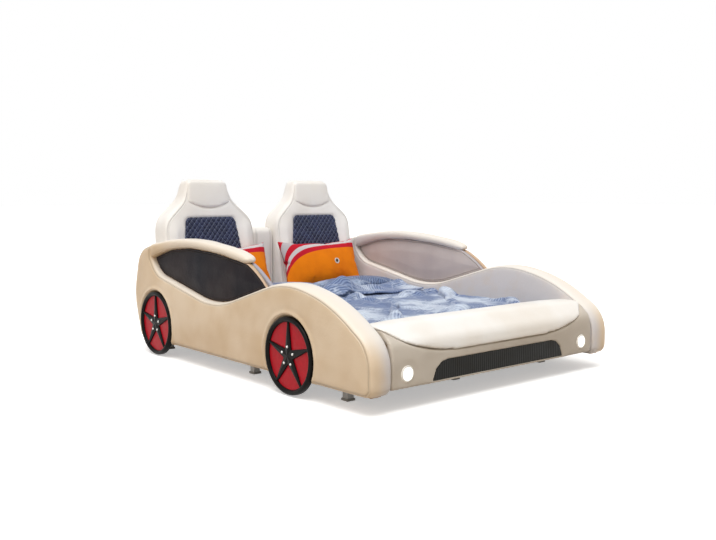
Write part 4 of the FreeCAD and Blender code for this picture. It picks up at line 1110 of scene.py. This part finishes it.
def blocker(name, low, high):
    """A block that the cloth can't pass, only while it settles."""
    work = bmesh.new()
    bmesh.ops.create_cube(work, size=1)
    size = Vector(high) - Vector(low)
    middle = (Vector(high) + Vector(low)) / 2
    bmesh.ops.scale(work, vec=size, verts=work.verts)
    bmesh.ops.translate(work, vec=middle, verts=work.verts)
    block = bpy.data.objects.new(name, to_mesh(work, name))
    scene.collection.objects.link(block)
    block.modifiers.new("stop", "COLLISION")
    block.collision.thickness_outer = 0.004
    block.collision.cloth_friction = 12
    return block


# Ridges in the duvet: the two ends of each on the plan, its width and its height
FOLDS = (
    ((-0.62, 0.24), (0.02, 0.2), 0.06, 0.085),
    ((-0.1, 0.12), (0.6, 0.25), 0.05, 0.06),
    ((-0.6, -0.15), (0.05, 0.02), 0.05, 0.055),
    ((-0.35, -0.75), (0.1, -0.2), 0.055, 0.06),
    ((0.1, -0.75), (0.55, -0.25), 0.05, 0.065),
    ((0.3, -0.1), (0.62, -0.02), 0.045, 0.05),
    ((-0.7, -0.55), (-0.4, -0.35), 0.05, 0.05),
    ((0.42, -0.86), (0.62, -0.62), 0.07, 0.075),
)


def duvet():
    """One loose quilt with ridges, whose cloth grows as it settles so that it rumples."""
    low, high = Vector((-0.74, -0.903, 0.352)), Vector((0.64, 0.305, 0.352))
    columns, rows = 112, 98
    work = bmesh.new()
    grid = [[work.verts.new((
        low[0] + (high[0] - low[0]) * i / columns, low[1] + (high[1] - low[1]) * j / rows, low[2]
    )) for j in range(rows + 1)] for i in range(columns + 1)]
    spanned(work, grid)
    piece = new_piece("duvet_cover", work, BLUE, "bedding")
    spots = places(piece.data)
    spots[:, 2] += 0.014 * (1 + waves(spots, 83, 16, 0.42, 0.12))
    wander = 0.05 * waves(spots, 89, 8, 0.7, 0.3)
    for start, end, wide, tall in FOLDS:
        away, _ = to_line(spots[:, :2], np.array([start, end]), False)
        spots[:, 2] += ridge(np.maximum(away + wander, 0), 0, wide, tall)
    move_to(piece.data, spots)
    blocks = (
        blocker("stop_under", (-0.9, -1.1, 0.2), (0.9, 1.1, 0.3303)),
        blocker("stop_right", (-0.9, -1.1, 0.2), (-0.7505, 1.1, 0.6)),
        blocker("stop_left", (0.665, -1.1, 0.2), (0.9, 1.1, 0.6)),
        blocker("stop_foot", (-0.9, -1.1, 0.2), (0.9, -0.911, 0.6)),
        blocker("stop_head", (-0.9, 0.33, 0.2), (0.9, 0.9, 0.6)),
    )
    settle(
        piece, 20, quality=6, mass=0.3, tension_stiffness=10, compression_stiffness=10,
        shear_stiffness=4, bending_stiffness=0.8, shrink_min=-0.09, air_damping=4,
        effector_weights__gravity=0.3,
    )
    for block in blocks:
        bpy.data.objects.remove(block)
    relaxed(piece, 1)
    subdivided(piece, thickness=0.014)
    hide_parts("duvet")
    return piece


FOLD_Y = 0.3  # where the duvet turns back
SHEET_Z = 0.345  # height of the bed beside the duvet
DROP_FROM = 0.7  # height above all bedding, from which rays look down


def turned_back(cover):
    """The duvet's head end, folded back over itself, with its hem lying loose."""
    tree = BVHTree.FromObject(cover, bpy.context.evaluated_depsgraph_get())
    columns, rows = 150, 40
    across = np.linspace(-0.735, 0.625, columns + 1)
    hem = 0.075 + 0.022 * np.sin(across * 9.0 + 0.6) + 0.014 * np.sin(across * 21.0) - 0.05 * across
    share = np.linspace(0, 1, rows + 1)
    top = np.empty((columns + 1, rows + 1))
    lie = np.empty_like(top)
    for i, x in enumerate(across):
        lie[i] = FOLD_Y + (hem[i] - FOLD_Y) * share
        for j in range(rows + 1):
            found = tree.ray_cast(Vector((x, lie[i, j], DROP_FROM)), Vector((0, 0, -1)))[0]
            top[i, j] = found.z if found else SHEET_Z
    # let the fold span the hollows under it
    for _ in range(14):
        grown = np.pad(top, 1, mode="edge")
        around = grown[:-2, 1:-1] + grown[2:, 1:-1] + grown[1:-1, :-2] + grown[1:-1, 2:]
        top = np.maximum(top * 0.985, around / 4)
    spots = np.stack(np.broadcast_arrays(across[:, None], lie, top + 0.004), axis=-1)
    loose = waves(spots.reshape(-1, 3), 97, 14, 0.3, 0.07).reshape(top.shape)
    spots[:, :, 2] += 0.007 * (1 + loose) + 0.01 * np.exp(-share / 0.1)[None, :]
    curl = 0.012 * np.clip((share - 0.93) / 0.07, 0, 1) ** 2
    spots[:, :, 2] += curl[None, :] * (0.4 + 0.6 * loose)
    work = bmesh.new()
    rounds = []
    for run in spots:
        x, _, z = run[0]
        under = [(x, 0.312, 0.338), (x, 0.325, SHEET_Z), (x, 0.328, (z + SHEET_Z) / 2),
                 (x, 0.318, z - 0.004)]
        rounds.append([work.verts.new(spot) for spot in under + [tuple(p) for p in run]])
    spanned(work, rounds)
    bmesh.ops.recalc_face_normals(work, faces=work.faces)
    piece = new_piece("duvet_turn", work, BLUE, "bedding")
    relaxed(piece, 2)
    subdivided(piece, thickness=0.011)
    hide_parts("duvet")


turned_back(duvet())

# ------------ stage

FLOOR_REACH = 60
FLOOR_GLOW = 0.42  # lifts the floor to white
LIGHT_LEVEL, SEEN_LEVEL = 0.44, 1.0  # of the world

floor_mesh = bpy.data.meshes.new("floor")
corners = [(x * FLOOR_REACH, y * FLOOR_REACH, 0) for x, y in ((-1, -1), (1, -1), (1, 1), (-1, 1))]
floor_mesh.from_pydata(corners, [], [(0, 1, 2, 3)])
floor = bpy.data.objects.new("floor", floor_mesh)
scene.collection.objects.link(floor)
floor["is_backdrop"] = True


def seen_share(tree):
    """1 where the background shows directly, in gloss or through glass."""
    path = tree.nodes.new("ShaderNodeLightPath").outputs
    total = path["Is Camera Ray"]
    for name in ("Is Glossy Ray", "Is Transmission Ray"):
        pair = tree.nodes.new("ShaderNodeMath")
        pair.operation = "MAXIMUM"
        tree.links.new(total, pair.inputs[0])
        tree.links.new(path[name], pair.inputs[1])
        total = pair.outputs[0]
    return total


floor_paint = Paint("studio_floor", Roughness=0.9, Specular_IOR_Level=0.1,
                    Emission_Color=rgb("ffffff"))
seen = seen_share(floor_paint.tree)
floor_paint.colour(floor_paint.mix(seen, rgb("a89a88"), rgb("f6f5f3")))
glow = floor_paint.times(seen, FLOOR_GLOW)
floor_paint.put(floor_paint.shader, "Emission Strength", glow)
floor_mesh.materials.append(floor_paint.material)

world = bpy.data.worlds.new("studio")
world.use_nodes = True
scene.world = world
sky = world.node_tree.nodes["Background"]
sky.inputs["Color"].default_value = (1, 1, 1, 1)
level = world.node_tree.nodes.new("ShaderNodeMapRange")
level.inputs["To Min"].default_value = LIGHT_LEVEL
level.inputs["To Max"].default_value = SEEN_LEVEL
world.node_tree.links.new(seen_share(world.node_tree), level.inputs["Value"])
world.node_tree.links.new(level.outputs[0], sky.inputs["Strength"])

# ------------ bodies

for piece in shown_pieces():
    if "body" in piece:
        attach(piece, piece["body"])
